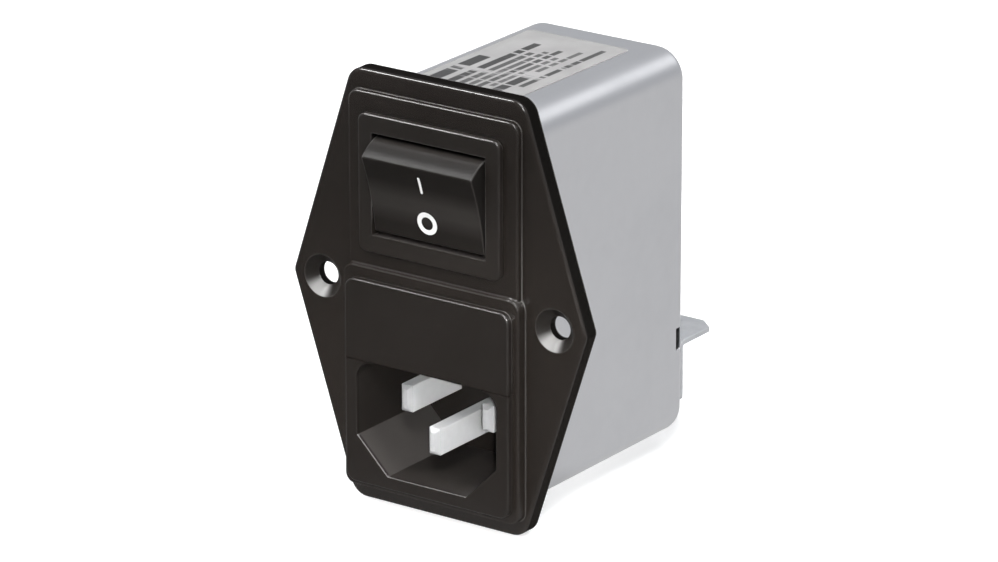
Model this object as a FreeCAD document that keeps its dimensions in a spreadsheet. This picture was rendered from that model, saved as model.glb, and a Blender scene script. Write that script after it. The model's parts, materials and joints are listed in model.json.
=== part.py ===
import FreeCAD, Part
import math
import os
from types import SimpleNamespace

import Sketcher

# Power entry module for a front panel: mains inlet, two-pole fuse drawer, two-pole rocker switch
# and mains filter in a drawn metal can.
# Frame: X to the right seen from the front, Y into the panel, Z up. The origin is midway between the
# two screw holes, on the rear face of the front flange, which lies against the panel.

# Driving dimensions, millimetres and degrees
sizes = {
    # six-sided front flange
    "screw_spacing": 40.0,
    "screw_margin": 5.25,
    "screw_hole_radius": 1.7,
    "countersink_radius": 3.15,
    "countersink_depth": 1.45,
    "flange_overhang": 2.8,
    "flange_end_margin": 0.76,
    "flange_thickness": 2.7,
    "flange_end_radius": 2.8,
    "flange_side_radius": 1.5,
    "flange_edge_radius": 0.5,
    # raised platform round the switch and raised rim round the inlet
    "platform_ledge": 0.5,
    "platform_margin": 2.8,
    "platform_height": 1.0,
    "rim_ledge": 1.0,
    "rim_head": 1.7,
    "rim_height": 1.7,
    "step_corner_radius": 1.6,
    "step_edge_radius": 0.3,
    "groove_depth": 0.8,
    # inlet socket and its block
    "socket_rise": 2.45,
    "cavity_half_width": 12.1,
    "cavity_height": 16.6,
    "cavity_chamfer": 5.3,
    "cavity_corner_radius": 2.7,
    "cavity_depth": 16.9,
    "cavity_floor": 1.8,
    "block_wall": 2.0,
    "block_sill": 1.85,
    "block_head": 1.7,
    "block_thickness": 1.1,
    "housing_side_wall": 1.0,
    "housing_wall": 1.1,
    # inlet pins
    "pin_spacing": 14.0,
    "pin_width": 2.0,
    "pin_height": 4.0,
    "pin_bevel": 0.6,
    "pin_rise": 10.35,
    "earth_pin_drop": 4.05,
    "pin_setback": 4.6,
    "earth_pin_setback": 1.6,
    "pin_shoulder": 0.6,
    "pin_tail_width": 4.8,
    "pin_tail_thickness": 0.8,
    "pin_tail_setback": 2.3,
    # fits: blades in slots, pieces that seat in each other, covers against their seams
    "blade_clearance": 0.02,
    "seat_clearance": 0.05,
    "seam": 0.1,
    # fuse drawer and its bay
    "bay_sill": 1.25,
    "bay_height": 9.1,
    "bay_wall": 1.2,
    "bay_side_wall": 1.7,
    "drawer_clearance": 0.2,
    "drawer_end_clearance": 2.3,
    "drawer_slot_length": 12.0,
    "tray_rise": 0.4,
    "rib_thickness": 1.6,
    "rib_rise": 2.2,
    "fuse_margin": 6.0,
    "fuse_rise": 4.6,
    "fuse_inset": 2.0,
    "fuse_length": 20.0,
    "fuse_cap_radius": 2.6,
    "fuse_cap_length": 5.3,
    "fuse_cap_wall": 0.16,
    "fuse_cap_end": 0.35,
    "fuse_glass_wall": 0.4,
    "fuse_wire_radius": 0.12,
    "bed_clearance": 0.06,
    # fuse contacts and link strips
    "contact_room": 5.7,
    "contact_width": 4.0,
    "contact_gap": 0.08,
    "contact_crest": 2.2,
    "contact_flat": 0.35,
    "contact_slope": 2.4,
    "contact_lead": 1.7,
    "contact_tail_gap": 2.0,
    "contact_tail_rise": 0.6,
    "strip_thickness": 0.4,
    "fuse_link_width": 3.0,
    "board_link_width": 2.4,
    "link_overlap": 0.5,
    # rocker switch
    "switch_drop": 13.05,
    "switch_wall": 1.2,
    "switch_end_wall": 1.55,
    "switch_room": 6.8,
    "switch_floor": 1.0,
    "pole_wall": 1.0,
    "pole_wall_gap": 1.5,
    "bezel_ledge": 1.2,
    "bezel_end_ledge": 1.15,
    "bezel_thickness": 1.0,
    "bezel_corner_radius": 1.2,
    "snap_height": 0.5,
    "snap_width": 4.0,
    "snap_length": 2.0,
    "snap_spacing": 12.0,
    "rocker_half_width": 9.4,
    "rocker_side_gap": 0.3,
    "rocker_end_gap": 0.25,
    "rocker_pivot_depth": -2.1,
    "rocker_tilt": 15.0,
    "rocker_radius": 7.2,
    "rocker_face": 4.0,
    "rocker_face_radius": 44.0,
    "rocker_ridge_radius": 0.35,
    "rocker_skirt": 1.6,
    "rocker_wall": 1.2,
    "rocker_face_wall": 1.7,
    "trunnion_radius": 1.25,
    "trunnion_length": 0.9,
    "boss_radius": 2.1,
    "boss_length": 4.0,
    "boss_floor": 0.3,
    "pole_spacing": 10.0,
    "plunger_radius": 1.2,
    "plunger_reach": 9.0,
    "plunger_length": 7.0,
    "plunger_play": 0.25,
    "spring_wire": 0.3,
    "spring_turns": 5.0,
    "lever_tilt": 8.0,
    "lever_bend": 15.3,
    "lever_half_length": 6.0,
    "lever_width": 3.2,
    "lever_thickness": 0.6,
    "lever_trough": 1.05,
    "contact_radius": 1.0,
    "contact_rise": 0.45,
    "contact_offset": 0.2,
    "terminal_thickness": 0.8,
    "terminal_width": 4.0,
    "terminal_setback": 3.4,
    "terminal_gap": 0.6,
    "fixed_contact_row": 5.2,
    # filter can
    "can_half_height": 29.2,
    "can_wall": 0.6,
    "can_clearance": 0.3,
    "can_long_radius": 4.5,
    "can_end_radius": 1.75,
    "slot_length": 3.3,
    "slot_width": 1.1,
    "slot_rise": 1.1,
    "slot_setback": 1.2,
    # circuit board and what stands on it
    "board_standoff": 0.4,
    "board_thickness": 1.6,
    "board_side_gap": 0.9,
    "board_end_gap": 1.3,
    "board_corner_radius": 3.2,
    "peg_radius": 1.0,
    "peg_inset": 2.0,
    "peg_end": 0.5,
    "component_room": 11.8,
    "liner_thickness": 0.25,
    "liner_clearance": 0.1,
    "liner_end_gap": 1.5,
    "choke_radius": 9.5,
    "choke_hole_radius": 4.8,
    "choke_thickness": 7.0,
    "choke_margin": 0.9,
    "choke_standoff": 0.6,
    "winding_thickness": 0.9,
    "winding_gap": 3.0,
    "capacitor_width": 18.0,
    "capacitor_height": 8.0,
    "capacitor_gap": 0.6,
    "capacitor_clearance": 2.0,
    "disc_radius": 3.9,
    "disc_thickness": 3.2,
    "disc_inset": 6.6,
    "disc_drop": 2.3,
    "resistor_radius": 1.2,
    "resistor_length": 6.4,
    "resistor_column": 1.2,
    # earth tab, its rivet and the earth strap
    "tab_width": 6.3,
    "tab_thickness": 0.8,
    "tab_length": 8.4,
    "tab_bend_radius": 1.2,
    "tab_corner": 2.0,
    "tab_taper": 1.6,
    "tab_eye_radius": 0.8,
    "tab_eye_setback": 4.2,
    "earth_tab_width": 9.0,
    "earth_tab_length": 9.65,
    "earth_tab_taper": 2.3,
    "earth_tab_rise": 13.9,
    "earth_tab_inset": 0.8,
    "earth_tab_leg": 9.0,
    "rivet_radius": 1.5,
    "rivet_head_radius": 2.5,
    "rivet_tail_radius": 2.0,
    "rivet_head_thickness": 0.7,
    "rivet_inset": 3.65,
    "rivet_margin": 0.6,
    "strap_width": 6.0,
    "strap_thickness": 0.5,
    "strap_foot": 7.0,
    "strap_rise": 3.4,
    # load tabs and their insulator
    "load_tab_inset": 8.2,
    "load_tab_spacing": 11.0,
    "load_tab_foot": 2.4,
    "insulator_side": 1.45,
    "insulator_margin": 3.2,
    "insulator_lip": 0.9,
    "insulator_lip_thickness": 1.5,
    "insulator_gap": 0.4,
    "insulator_proud": 0.6,
}

doc = FreeCAD.newDocument("PowerEntryModule")
sheet = doc.addObject("Spreadsheet::Sheet", "Sizes")
for row, (name, number) in enumerate(sizes.items(), start=1):
    sheet.set(f"A{row}", name)
    sheet.set(f"B{row}", str(number))
    sheet.setAlias(f"B{row}", name)
doc.recompute()


class Size:
    """A number that also carries the sheet expression it is worked out from."""

    def __init__(self, text, number):
        self.text = text
        self.number = number

    def __add__(self, other):
        other = as_size(other)
        return Size(f"({self.text} + {other.text})", self.number + other.number)

    def __sub__(self, other):
        other = as_size(other)
        return Size(f"({self.text} - {other.text})", self.number - other.number)

    def __mul__(self, other):
        other = as_size(other)
        return Size(f"({self.text} * {other.text})", self.number * other.number)

    def __truediv__(self, other):
        other = as_size(other)
        return Size(f"({self.text} / {other.text})", self.number / other.number)

    def __neg__(self):
        return Size(f"(0 - {self.text})", -self.number)

    def __radd__(self, other):
        return as_size(other) + self

    def __rsub__(self, other):
        return as_size(other) - self

    def __rmul__(self, other):
        return as_size(other) * self


def as_size(value):
    if isinstance(value, Size):
        return value
    return Size(f"({float(value)})", float(value))


def root(value):
    return Size(f"sqrt({value.text})", math.sqrt(value.number))


def tangent(angle):
    return Size(f"tan({angle.text} * 1 deg)", math.tan(math.radians(angle.number)))


d = SimpleNamespace(**{name: Size(f"Sizes.{name}", number) for name, number in sizes.items()})


# Depths, from the front of the socket to the back of the can
flange_face = -d.flange_thickness
platform_face = flange_face - d.platform_height
rim_face = flange_face - d.rim_height
block_face = rim_face - d.block_thickness
bezel_face = platform_face - d.bezel_thickness
cavity_back = block_face + d.cavity_depth
housing_back = cavity_back + d.cavity_floor
fuse_start = rim_face + d.fuse_inset
fuse_end = fuse_start + d.fuse_length
front_contact_tail = fuse_start + d.fuse_cap_length + d.contact_tail_gap
bay_back = fuse_end + d.contact_room
bay_end = bay_back + d.bay_wall
pin_tail_end = bay_back - d.pin_tail_setback
board_front = bay_end + d.board_standoff
board_back = board_front + d.board_thickness
can_inner_end = board_back + d.component_room
can_depth = can_inner_end + d.can_wall
tab_end = can_depth + d.tab_length
earth_tab_end = can_depth + d.earth_tab_length
lever_pivot_depth = d.rocker_pivot_depth + d.plunger_reach + d.plunger_play + d.lever_trough
switch_depth = lever_pivot_depth + d.switch_room
terminal_end = board_front - d.terminal_setback
contact_front = lever_pivot_depth - d.contact_rise

# Heights, from the bottom of the can upwards
can_inner_height = d.can_half_height - d.can_wall
cavity_bottom = d.socket_rise - d.can_half_height
cavity_top = cavity_bottom + d.cavity_height
block_bottom = cavity_bottom - d.block_sill
housing_bottom = cavity_bottom - d.housing_wall
pin_row = cavity_bottom + d.pin_rise
earth_pin_row = pin_row - d.earth_pin_drop
bay_floor = cavity_top + d.bay_sill
bay_roof = bay_floor + d.bay_height
housing_top = bay_roof + d.bay_wall
block_top = bay_roof + d.block_head
rim_bottom = block_bottom - d.rim_ledge
rim_top = block_top + d.rim_head
fuse_axis = bay_floor + d.fuse_rise
peg_row = (bay_floor + bay_roof) / 2
switch_centre = d.can_half_height - d.switch_drop
fixed_contact_height = switch_centre - d.fixed_contact_row
window_half_height = d.rocker_radius + d.rocker_end_gap
switch_half_height = window_half_height + d.switch_end_wall
bezel_half_height = switch_half_height + d.bezel_end_ledge
platform_top = switch_centre + bezel_half_height + d.platform_margin
flange_half_height = d.can_half_height + d.flange_overhang
board_half_height = can_inner_height - d.board_end_gap
choke_centre = board_half_height - d.choke_radius - d.winding_thickness - d.choke_margin
capacitor_top = choke_centre - d.choke_radius - d.winding_thickness - d.capacitor_gap
capacitor_bottom = capacitor_top - d.capacitor_height
load_tab_upper_row = capacitor_bottom - d.insulator_gap - d.insulator_lip - d.insulator_margin
load_tab_lower_row = load_tab_upper_row - d.load_tab_spacing
earth_tab_row = d.earth_tab_rise - d.can_half_height
slot_centre = earth_tab_row + d.slot_rise
rivet_row = earth_tab_row - d.earth_tab_leg + d.rivet_head_radius + d.rivet_margin

# Half widths and columns, from the socket outwards
block_half_width = d.cavity_half_width + d.block_wall
rim_half_width = block_half_width + d.rim_ledge
housing_half_width = d.cavity_half_width + d.housing_side_wall
bay_half_width = housing_half_width - d.bay_side_wall
fuse_offset = bay_half_width - d.fuse_margin
peg_column = bay_half_width - d.peg_inset
pin_offset = d.pin_spacing / 2
can_inner_width = housing_half_width + d.can_clearance
can_half_width = can_inner_width + d.can_wall
platform_half_width = can_half_width + d.platform_ledge
flange_half_width = d.screw_spacing / 2 + d.screw_margin
flange_end_half_width = can_half_width + d.flange_end_margin
window_half_width = d.rocker_half_width + d.rocker_side_gap
switch_half_width = window_half_width + d.switch_wall
bezel_half_width = switch_half_width + d.bezel_ledge
pole_offset = d.pole_spacing / 2
board_half_width = can_inner_width - d.board_side_gap
load_tab_column = d.load_tab_inset - can_inner_width
disc_column = can_inner_width - d.disc_inset
earth_tab_right = can_half_width - d.earth_tab_inset
rivet_column = earth_tab_right - d.rivet_inset
sides = (("left", -1), ("right", 1))

# How far a cutting outline runs past the faces that it cuts through
over = Size("(1.0)", 1.0)

nodes = []


def bind(item, prop, value):
    """Ties one property to the sheet."""
    item.setExpression(prop, as_size(value).text)


def place(item, x=0, y=0, z=0):
    bind(item, "Placement.Base.x", x)
    bind(item, "Placement.Base.y", y)
    bind(item, "Placement.Base.z", z)


def turn(item, axis, angle):
    item.Placement = FreeCAD.Placement(FreeCAD.Vector(), FreeCAD.Rotation(axis, as_size(angle).number))
    if isinstance(angle, Size):
        bind(item, "Placement.Rotation.Angle", angle)


def new_body(label):
    body = doc.addObject("PartDesign::Body", label)
    body.Label = label
    nodes.append(body)
    return body


def add_node(item, label):
    item.Label = label
    nodes.append(item)
    return item


def origin_plane(body, role):
    for feature in body.Origin.OriginFeatures:
        if feature.Role == role:
            return feature


def new_sketch(body, role, offset):
    sketch = body.newObject("Sketcher::SketchObject", "Sketch")
    sketch.AttachmentSupport = (origin_plane(body, role), [""])
    sketch.MapMode = "FlatFace"
    bind(sketch, "AttachmentOffset.Base.z", offset)
    return sketch


def bind_point(sketch, geometry, end, x, y):
    """Holds one end of a line or arc at bound coordinates."""
    for kind, value in (("DistanceX", as_size(x)), ("DistanceY", as_size(y))):
        index = sketch.addConstraint(Sketcher.Constraint(kind, -1, 1, geometry, end, value.number))
        sketch.setExpression(f"Constraints[{index}]", value.text)


def arc_through(start, end, radius, bulge):
    """The arc of a radius from start to end; bulge 1 turns left along it, -1 turns right."""
    middle = (start + end) * 0.5
    along = end - start
    rise = math.sqrt(max(radius * radius - along.Length * along.Length / 4, 0.0))
    left = FreeCAD.Vector(-along.y, along.x, 0).normalize()
    centre = middle + left * (rise * bulge)
    first, last = (start, end) if bulge > 0 else (end, start)
    angles = [math.atan2(p.y - centre.y, p.x - centre.x) for p in (first, last)]
    return Part.ArcOfCircle(Part.Circle(centre, FreeCAD.Vector(0, 0, 1), radius), angles[0], angles[1])


def draw(body, role, offset, points, arcs=None):
    """A closed outline. arcs gives, for an edge's number, its radius and its bulge."""
    arcs = arcs or {}
    sketch = new_sketch(body, role, offset)
    corners = [FreeCAD.Vector(as_size(x).number, as_size(y).number, 0) for x, y in points]
    count = len(points)
    ends = []
    for index, corner in enumerate(corners):
        following = corners[(index + 1) % count]
        if index in arcs:
            radius, bulge = arcs[index]
            sketch.addGeometry(arc_through(corner, following, as_size(radius).number, bulge), False)
            ends.append((1, 2) if bulge > 0 else (2, 1))
        else:
            sketch.addGeometry(Part.LineSegment(corner, following), False)
            ends.append((1, 2))
    for index, (x, y) in enumerate(points):
        following = (index + 1) % count
        joined = Sketcher.Constraint("Coincident", index, ends[index][1], following, ends[following][0])
        sketch.addConstraint(joined)
        bind_point(sketch, index, ends[index][0], x, y)
        if index in arcs:
            radius = as_size(arcs[index][0])
            number = sketch.addConstraint(Sketcher.Constraint("Radius", index, radius.number))
            sketch.setExpression(f"Constraints[{number}]", radius.text)
    return sketch


def draw_rectangle(body, role, offset, x_range, y_range):
    (x0, x1), (y0, y1) = x_range, y_range
    return draw(body, role, offset, [(x0, y0), (x1, y0), (x1, y1), (x0, y1)])


def draw_rounded(body, role, offset, x_range, y_range, radius):
    """A rectangle with four round corners."""
    (x0, x1), (y0, y1) = x_range, y_range
    points = [
        (x0 + radius, y0), (x1 - radius, y0), (x1, y0 + radius), (x1, y1 - radius),
        (x1 - radius, y1), (x0 + radius, y1), (x0, y1 - radius), (x0, y0 + radius),
    ]
    return draw(body, role, offset, points, {index: (radius, 1) for index in (1, 3, 5, 7)})


def add_rounded_hole(sketch, half_width, half_height, radius):
    """An inner round-cornered rectangle in a sketch that has its outer outline."""
    start = sketch.GeometryCount
    points = [
        (radius - half_width, -half_height), (half_width - radius, -half_height),
        (half_width, radius - half_height), (half_width, half_height - radius),
        (half_width - radius, half_height), (radius - half_width, half_height),
        (-half_width, half_height - radius), (-half_width, radius - half_height),
    ]
    corners = [FreeCAD.Vector(as_size(x).number, as_size(y).number, 0) for x, y in points]
    for index, corner in enumerate(corners):
        following = corners[(index + 1) % 8]
        if index % 2:
            sketch.addGeometry(arc_through(corner, following, radius.number, 1), False)
        else:
            sketch.addGeometry(Part.LineSegment(corner, following), False)
    for index, (x, y) in enumerate(points):
        following = start + (index + 1) % 8
        sketch.addConstraint(Sketcher.Constraint("Coincident", start + index, 2, following, 1))
        bind_point(sketch, start + index, 1, x, y)
        if index % 2:
            number = sketch.addConstraint(Sketcher.Constraint("Radius", start + index, radius.number))
            sketch.setExpression(f"Constraints[{number}]", radius.text)


def draw_circles(body, role, offset, centres, radius):
    sketch = new_sketch(body, role, offset)
    radius = as_size(radius)
    for index, (x, y) in enumerate(centres):
        centre = FreeCAD.Vector(as_size(x).number, as_size(y).number, 0)
        sketch.addGeometry(Part.Circle(centre, FreeCAD.Vector(0, 0, 1), radius.number), False)
        bind_point(sketch, index, 3, x, y)
        number = sketch.addConstraint(Sketcher.Constraint("Radius", index, radius.number))
        sketch.setExpression(f"Constraints[{number}]", radius.text)
    return sketch


def pad(body, sketch, length):
    feature = body.newObject("PartDesign::Pad", "Pad")
    feature.Profile = sketch
    bind(feature, "Length", length)
    return feature


def pocket(body, sketch, length):
    feature = body.newObject("PartDesign::Pocket", "Pocket")
    feature.Profile = sketch
    bind(feature, "Length", length)
    return feature


def pad_between(body, drawing, front, back, *details):
    """Adds an outline in the X-Z plane, from the depth front to the depth back."""
    return pad(body, drawing(body, "XZ_Plane", -as_size(back), *details), back - front)


def pocket_between(body, drawing, front, back, *details):
    """Removes an outline in the X-Z plane, from the depth front to the depth back."""
    return pocket(body, drawing(body, "XZ_Plane", -as_size(front), *details), back - front)


def pad_across(body, drawing, left, right, *details):
    """Adds an outline in the Y-Z plane, from the place left to the place right along X."""
    return pad(body, drawing(body, "YZ_Plane", left, *details), right - left)


def pocket_across(body, drawing, left, right, *details):
    """Removes an outline in the Y-Z plane, from the place left to the place right along X."""
    return pocket(body, drawing(body, "YZ_Plane", right, *details), right - left)


def edges_at_depth(feature, depth, below=None, above=None):
    """The names of the edges in the plane Y = depth that reach below one height or above another."""
    near = 0.01
    names = []
    for index, edge in enumerate(feature.Shape.Edges, start=1):
        extent = edge.BoundBox
        flat = abs(extent.YMin - depth.number) < near and abs(extent.YMax - depth.number) < near
        low_enough = below is None or extent.ZMin < below.number - near
        high_enough = above is None or extent.ZMax > above.number + near
        if flat and low_enough and high_enough:
            names.append(f"Edge{index}")
    return names


def edges_through(plate, thickness, at_middle):
    """The names of the edges that run through a plate, at its middle height or away from it."""
    names = []
    for index, edge in enumerate(plate.Shape.Edges, start=1):
        through = edge.BoundBox.YLength > thickness.number / 2
        if through and (abs(edge.CenterOfMass.z) < thickness.number) == at_middle:
            names.append(f"Edge{index}")
    return names


def round_edges(body, feature, names, radius):
    fillet = body.newObject("PartDesign::Fillet", "Fillet")
    fillet.Base = (feature, names)
    bind(fillet, "Radius", radius)
    return fillet


def bevel_edges(body, feature, names, size):
    chamfer = body.newObject("PartDesign::Chamfer", "Chamfer")
    chamfer.Base = (feature, names)
    bind(chamfer, "Size", size)
    return chamfer


def box(x_range, y_range, z_range):
    """A block between bound faces."""
    block = doc.addObject("Part::Box", "Block")
    for prop, (low, high) in zip(("Length", "Width", "Height"), (x_range, y_range, z_range)):
        bind(block, prop, high - low)
    place(block, x_range[0], y_range[0], z_range[0])
    return block


def rod(radius, length, axis, x=0, y=0, z=0):
    """A cylinder along X, Y or Z from a bound point."""
    cylinder = doc.addObject("Part::Cylinder", "Rod")
    bind(cylinder, "Radius", radius)
    bind(cylinder, "Height", length)
    turns = {"X": ((0, 1, 0), 90), "Y": ((1, 0, 0), -90), "Z": ((0, 0, 1), 0)}
    direction, angle = turns[axis]
    turn(cylinder, FreeCAD.Vector(*direction), angle)
    place(cylinder, x, y, z)
    return cylinder


def cut(base, *tools):
    for tool in tools:
        result = doc.addObject("Part::Cut", "Cut")
        result.Base = base
        result.Tool = tool
        base = result
    return base


def fuse(*items):
    result = doc.addObject("Part::MultiFuse", "Fusion")
    result.Shapes = list(items)
    result.Refine = True
    return result


# Front flange: hexagon with a platform for the switch and a rim for the inlet, in one moulding
def make_front_flange():
    body = new_body("front_flange")
    width, end, height = flange_half_width, flange_end_half_width, flange_half_height
    corners = [(end, -height), (width, 0), (end, height), (-end, height), (-width, 0), (-end, -height)]
    plate = pad_between(body, draw, flange_face, as_size(0), corners)
    doc.recompute()
    ends = round_edges(body, plate, edges_through(plate, d.flange_thickness, False), d.flange_end_radius)
    doc.recompute()
    outline = round_edges(body, ends, edges_through(ends, d.flange_thickness, True), d.flange_side_radius)
    doc.recompute()
    round_edges(body, outline, edges_at_depth(outline, flange_face), d.flange_edge_radius)
    platform_x = (-platform_half_width, platform_half_width)
    platform_z = (rim_top - d.step_corner_radius * 2, platform_top)
    pad_between(body, draw_rounded, platform_face, flange_face, platform_x, platform_z, d.step_corner_radius)
    rim_x = (-rim_half_width, rim_half_width)
    rim_z = (rim_bottom, rim_top)
    rim = pad_between(body, draw_rounded, rim_face, flange_face, rim_x, rim_z, d.step_corner_radius)
    doc.recompute()
    names = edges_at_depth(rim, rim_face) + edges_at_depth(rim, platform_face)
    round_edges(body, rim, names, d.step_edge_radius)
    switch_x = (-switch_half_width - d.seam, switch_half_width + d.seam)
    switch_z = (switch_centre - switch_half_height - d.seam, switch_centre + switch_half_height + d.seam)
    pocket_between(body, draw_rectangle, platform_face - over, over, switch_x, switch_z)
    pocket_between(body, draw, rim_face - over, over, *housing_outline(d.seam))
    screw = d.screw_spacing / 2
    centres = [(-screw, 0), (screw, 0)]
    pocket_between(body, draw_circles, flange_face - over, over, centres, d.screw_hole_radius)
    for x in (-screw, screw):
        section = [
            (0, flange_face - over), (d.countersink_radius, flange_face - over),
            (d.countersink_radius, flange_face), (d.screw_hole_radius, flange_face + d.countersink_depth),
            (0, flange_face + d.countersink_depth),
        ]
        sketch = draw(body, "XY_Plane", as_size(0), section)
        bind(sketch, "AttachmentOffset.Base.x", x)
        sink = body.newObject("PartDesign::Groove", "Countersink")
        sink.Profile = sketch
        sink.ReferenceAxis = (sketch, ["V_Axis"])
        sink.Angle = 360
    # the can's mouth stands in this groove
    ring_x = (-can_half_width - d.seam, can_half_width + d.seam)
    ring_z = (-d.can_half_height - d.seam, d.can_half_height + d.seam)
    ring = draw_rounded(body, "XZ_Plane", d.groove_depth, ring_x, ring_z, d.can_long_radius + d.seam)
    inner_radius = d.can_long_radius - d.can_wall - d.seam
    add_rounded_hole(ring, can_inner_width - d.seam, can_inner_height - d.seam, inner_radius)
    pocket(body, ring, d.groove_depth + over)
    return body


# Inlet housing: socket with two cut corners below, fuse bay above, pegs for the circuit board
def cavity_outline():
    """The socket's outline and its two round upper corners."""
    half, top, low = d.cavity_half_width, cavity_top, cavity_bottom
    corner, cut_off = d.cavity_corner_radius, d.cavity_chamfer
    points = [
        (cut_off - half, low), (half - cut_off, low), (half, low + cut_off), (half, top - corner),
        (half - corner, top), (corner - half, top), (-half, top - corner), (-half, low + cut_off),
    ]
    return points, {3: (corner, 1), 5: (corner, 1)}


def housing_outline(gap):
    """The housing behind its front block: its lower corners follow the can's long edges."""
    half = housing_half_width + gap
    low, high = housing_bottom - gap, housing_top + gap
    corner = d.can_long_radius + gap
    points = [
        (corner - half, low), (half - corner, low), (half, low + corner),
        (half, high), (-half, high), (-half, low + corner),
    ]
    return points, {1: (corner, 1), 5: (corner, 1)}


def add_snap_noses(body, faces):
    """Two noses on each of the faces, close behind the flange. A face is a height and its outward sign."""
    for x in (-d.snap_spacing / 2, d.snap_spacing / 2):
        nose_x = (x - d.snap_width / 2, x + d.snap_width / 2)
        for height, outward in faces:
            nose_z = (height, height + d.snap_height) if outward > 0 else (height - d.snap_height, height)
            pad_between(body, draw_rectangle, d.seam, d.seam + d.snap_length, nose_x, nose_z)


def make_inlet_housing():
    body = new_body("inlet_housing")
    half = block_half_width
    low, high = block_bottom, cavity_top
    corner = d.step_corner_radius
    points = [
        (corner - half, low), (half - corner, low), (half, low + corner),
        (half, high), (-half, high), (-half, low + corner),
    ]
    block = pad_between(body, draw, block_face, rim_face, points, {1: (corner, 1), 5: (corner, 1)})
    doc.recompute()
    round_edges(body, block, edges_at_depth(block, block_face, below=high), d.step_edge_radius)
    pad_between(body, draw, rim_face, housing_back, *housing_outline(as_size(0)))
    bay_z = (bay_floor - d.bay_wall, housing_top)
    pad_between(body, draw_rectangle, housing_back, bay_end, (-housing_half_width, housing_half_width), bay_z)
    pocket_between(body, draw, block_face - over, cavity_back, *cavity_outline())
    bay_x = (-bay_half_width, bay_half_width)
    pocket_between(body, draw_rectangle, rim_face - over, bay_back, bay_x, (bay_floor, bay_roof))
    # holes for the pins, close round each blade
    wide = d.pin_width / 2 + d.blade_clearance
    tall = d.pin_height / 2 + d.blade_clearance
    for x, z in ((-pin_offset, pin_row), (pin_offset, pin_row), (as_size(0), earth_pin_row)):
        hole = ((x - wide, x + wide), (z - tall, z + tall))
        pocket_between(body, draw_rectangle, cavity_back - over, housing_back + over, *hole)
    # slots for the fuse contacts: down through the bay's floor at the back, up through its roof at the front
    strip = d.contact_width / 2 + d.seam
    gap = d.seat_clearance
    for x in (-fuse_offset, fuse_offset):
        for tail, ceiling in ((pin_tail_end, bay_floor), (front_contact_tail, housing_top)):
            slot = ((x - strip, x + strip), (tail - gap, tail + d.strip_thickness + gap))
            start = ceiling + d.seam
            pocket(body, draw_rectangle(body, "XY_Plane", start, *slot), d.bay_wall + d.seam * 2)
    pegs = [(-peg_column, peg_row), (peg_column, peg_row)]
    pad_between(body, draw_circles, bay_end, board_back + d.peg_end, pegs, d.peg_radius)
    add_snap_noses(body, ((housing_bottom, -1), (housing_top, 1)))
    return body


# Inlet pins: blades with bevelled tips and thin tails
def make_pin(label, x, z, setback):
    body = new_body(label)
    wide, tall = d.pin_width / 2, d.pin_height / 2
    tip = block_face + setback
    shoulder = housing_back + d.pin_shoulder
    blade = pad_between(body, draw_rectangle, tip, shoulder, (-wide, wide), (-tall, tall))
    doc.recompute()
    bevel_edges(body, blade, edges_at_depth(blade, tip), d.pin_bevel)
    thin, deep = d.pin_tail_thickness / 2, d.pin_tail_width / 2
    pad_between(body, draw_rectangle, shoulder, pin_tail_end, (-thin, thin), (-deep, deep))
    place(body, x, 0, z)
    return body


# Fuse drawer: front plate flush with the inlet block, tray with two beds behind it
def make_fuse_drawer():
    body = new_body("fuse_drawer")
    half = block_half_width
    low, top = cavity_top + d.seam, block_top
    corner = d.step_corner_radius
    points = [
        (-half, low), (half, low), (half, top - corner),
        (half - corner, top), (corner - half, top), (-half, top - corner),
    ]
    plate_back = rim_face - d.seat_clearance
    plate = pad_between(body, draw, block_face, plate_back, points, {2: (corner, 1), 4: (corner, 1)})
    doc.recompute()
    round_edges(body, plate, edges_at_depth(plate, block_face, above=low), d.step_edge_radius)
    tray_half = bay_half_width - d.drawer_clearance
    tray_x = (-tray_half, tray_half)
    tray_low = bay_floor + d.drawer_clearance
    tray_end = bay_back - d.drawer_end_clearance
    head_z = (tray_low, bay_roof - d.drawer_clearance)
    pad_between(body, draw_rectangle, plate_back, tray_end, tray_x, (tray_low, fuse_axis + d.tray_rise))
    pad_between(body, draw_rectangle, plate_back, fuse_start - d.seam, tray_x, head_z)
    bed = d.fuse_cap_radius + d.bed_clearance
    bed_start, bed_end = fuse_start - d.seat_clearance, fuse_end + d.seat_clearance
    strip = d.contact_width / 2 + d.drawer_clearance
    for x in (-fuse_offset, fuse_offset):
        pocket_between(body, draw_circles, bed_start, bed_end, [(x, fuse_axis)], bed)
        above = ((x - bed, x + bed), (fuse_axis, fuse_axis + d.fuse_cap_radius))
        pocket_between(body, draw_rectangle, bed_start, bed_end, *above)
        slot = ((x - strip, x + strip), (tray_low - over, fuse_axis - bed / 2))
        pocket_between(body, draw_rectangle, tray_end - d.drawer_slot_length, tray_end + over, *slot)
    rib_x = (-d.rib_thickness / 2, d.rib_thickness / 2)
    rib_z = (fuse_axis, fuse_axis + d.rib_rise)
    pad_between(body, draw_rectangle, fuse_start - d.seam, fuse_end, rib_x, rib_z)
    return body


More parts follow.
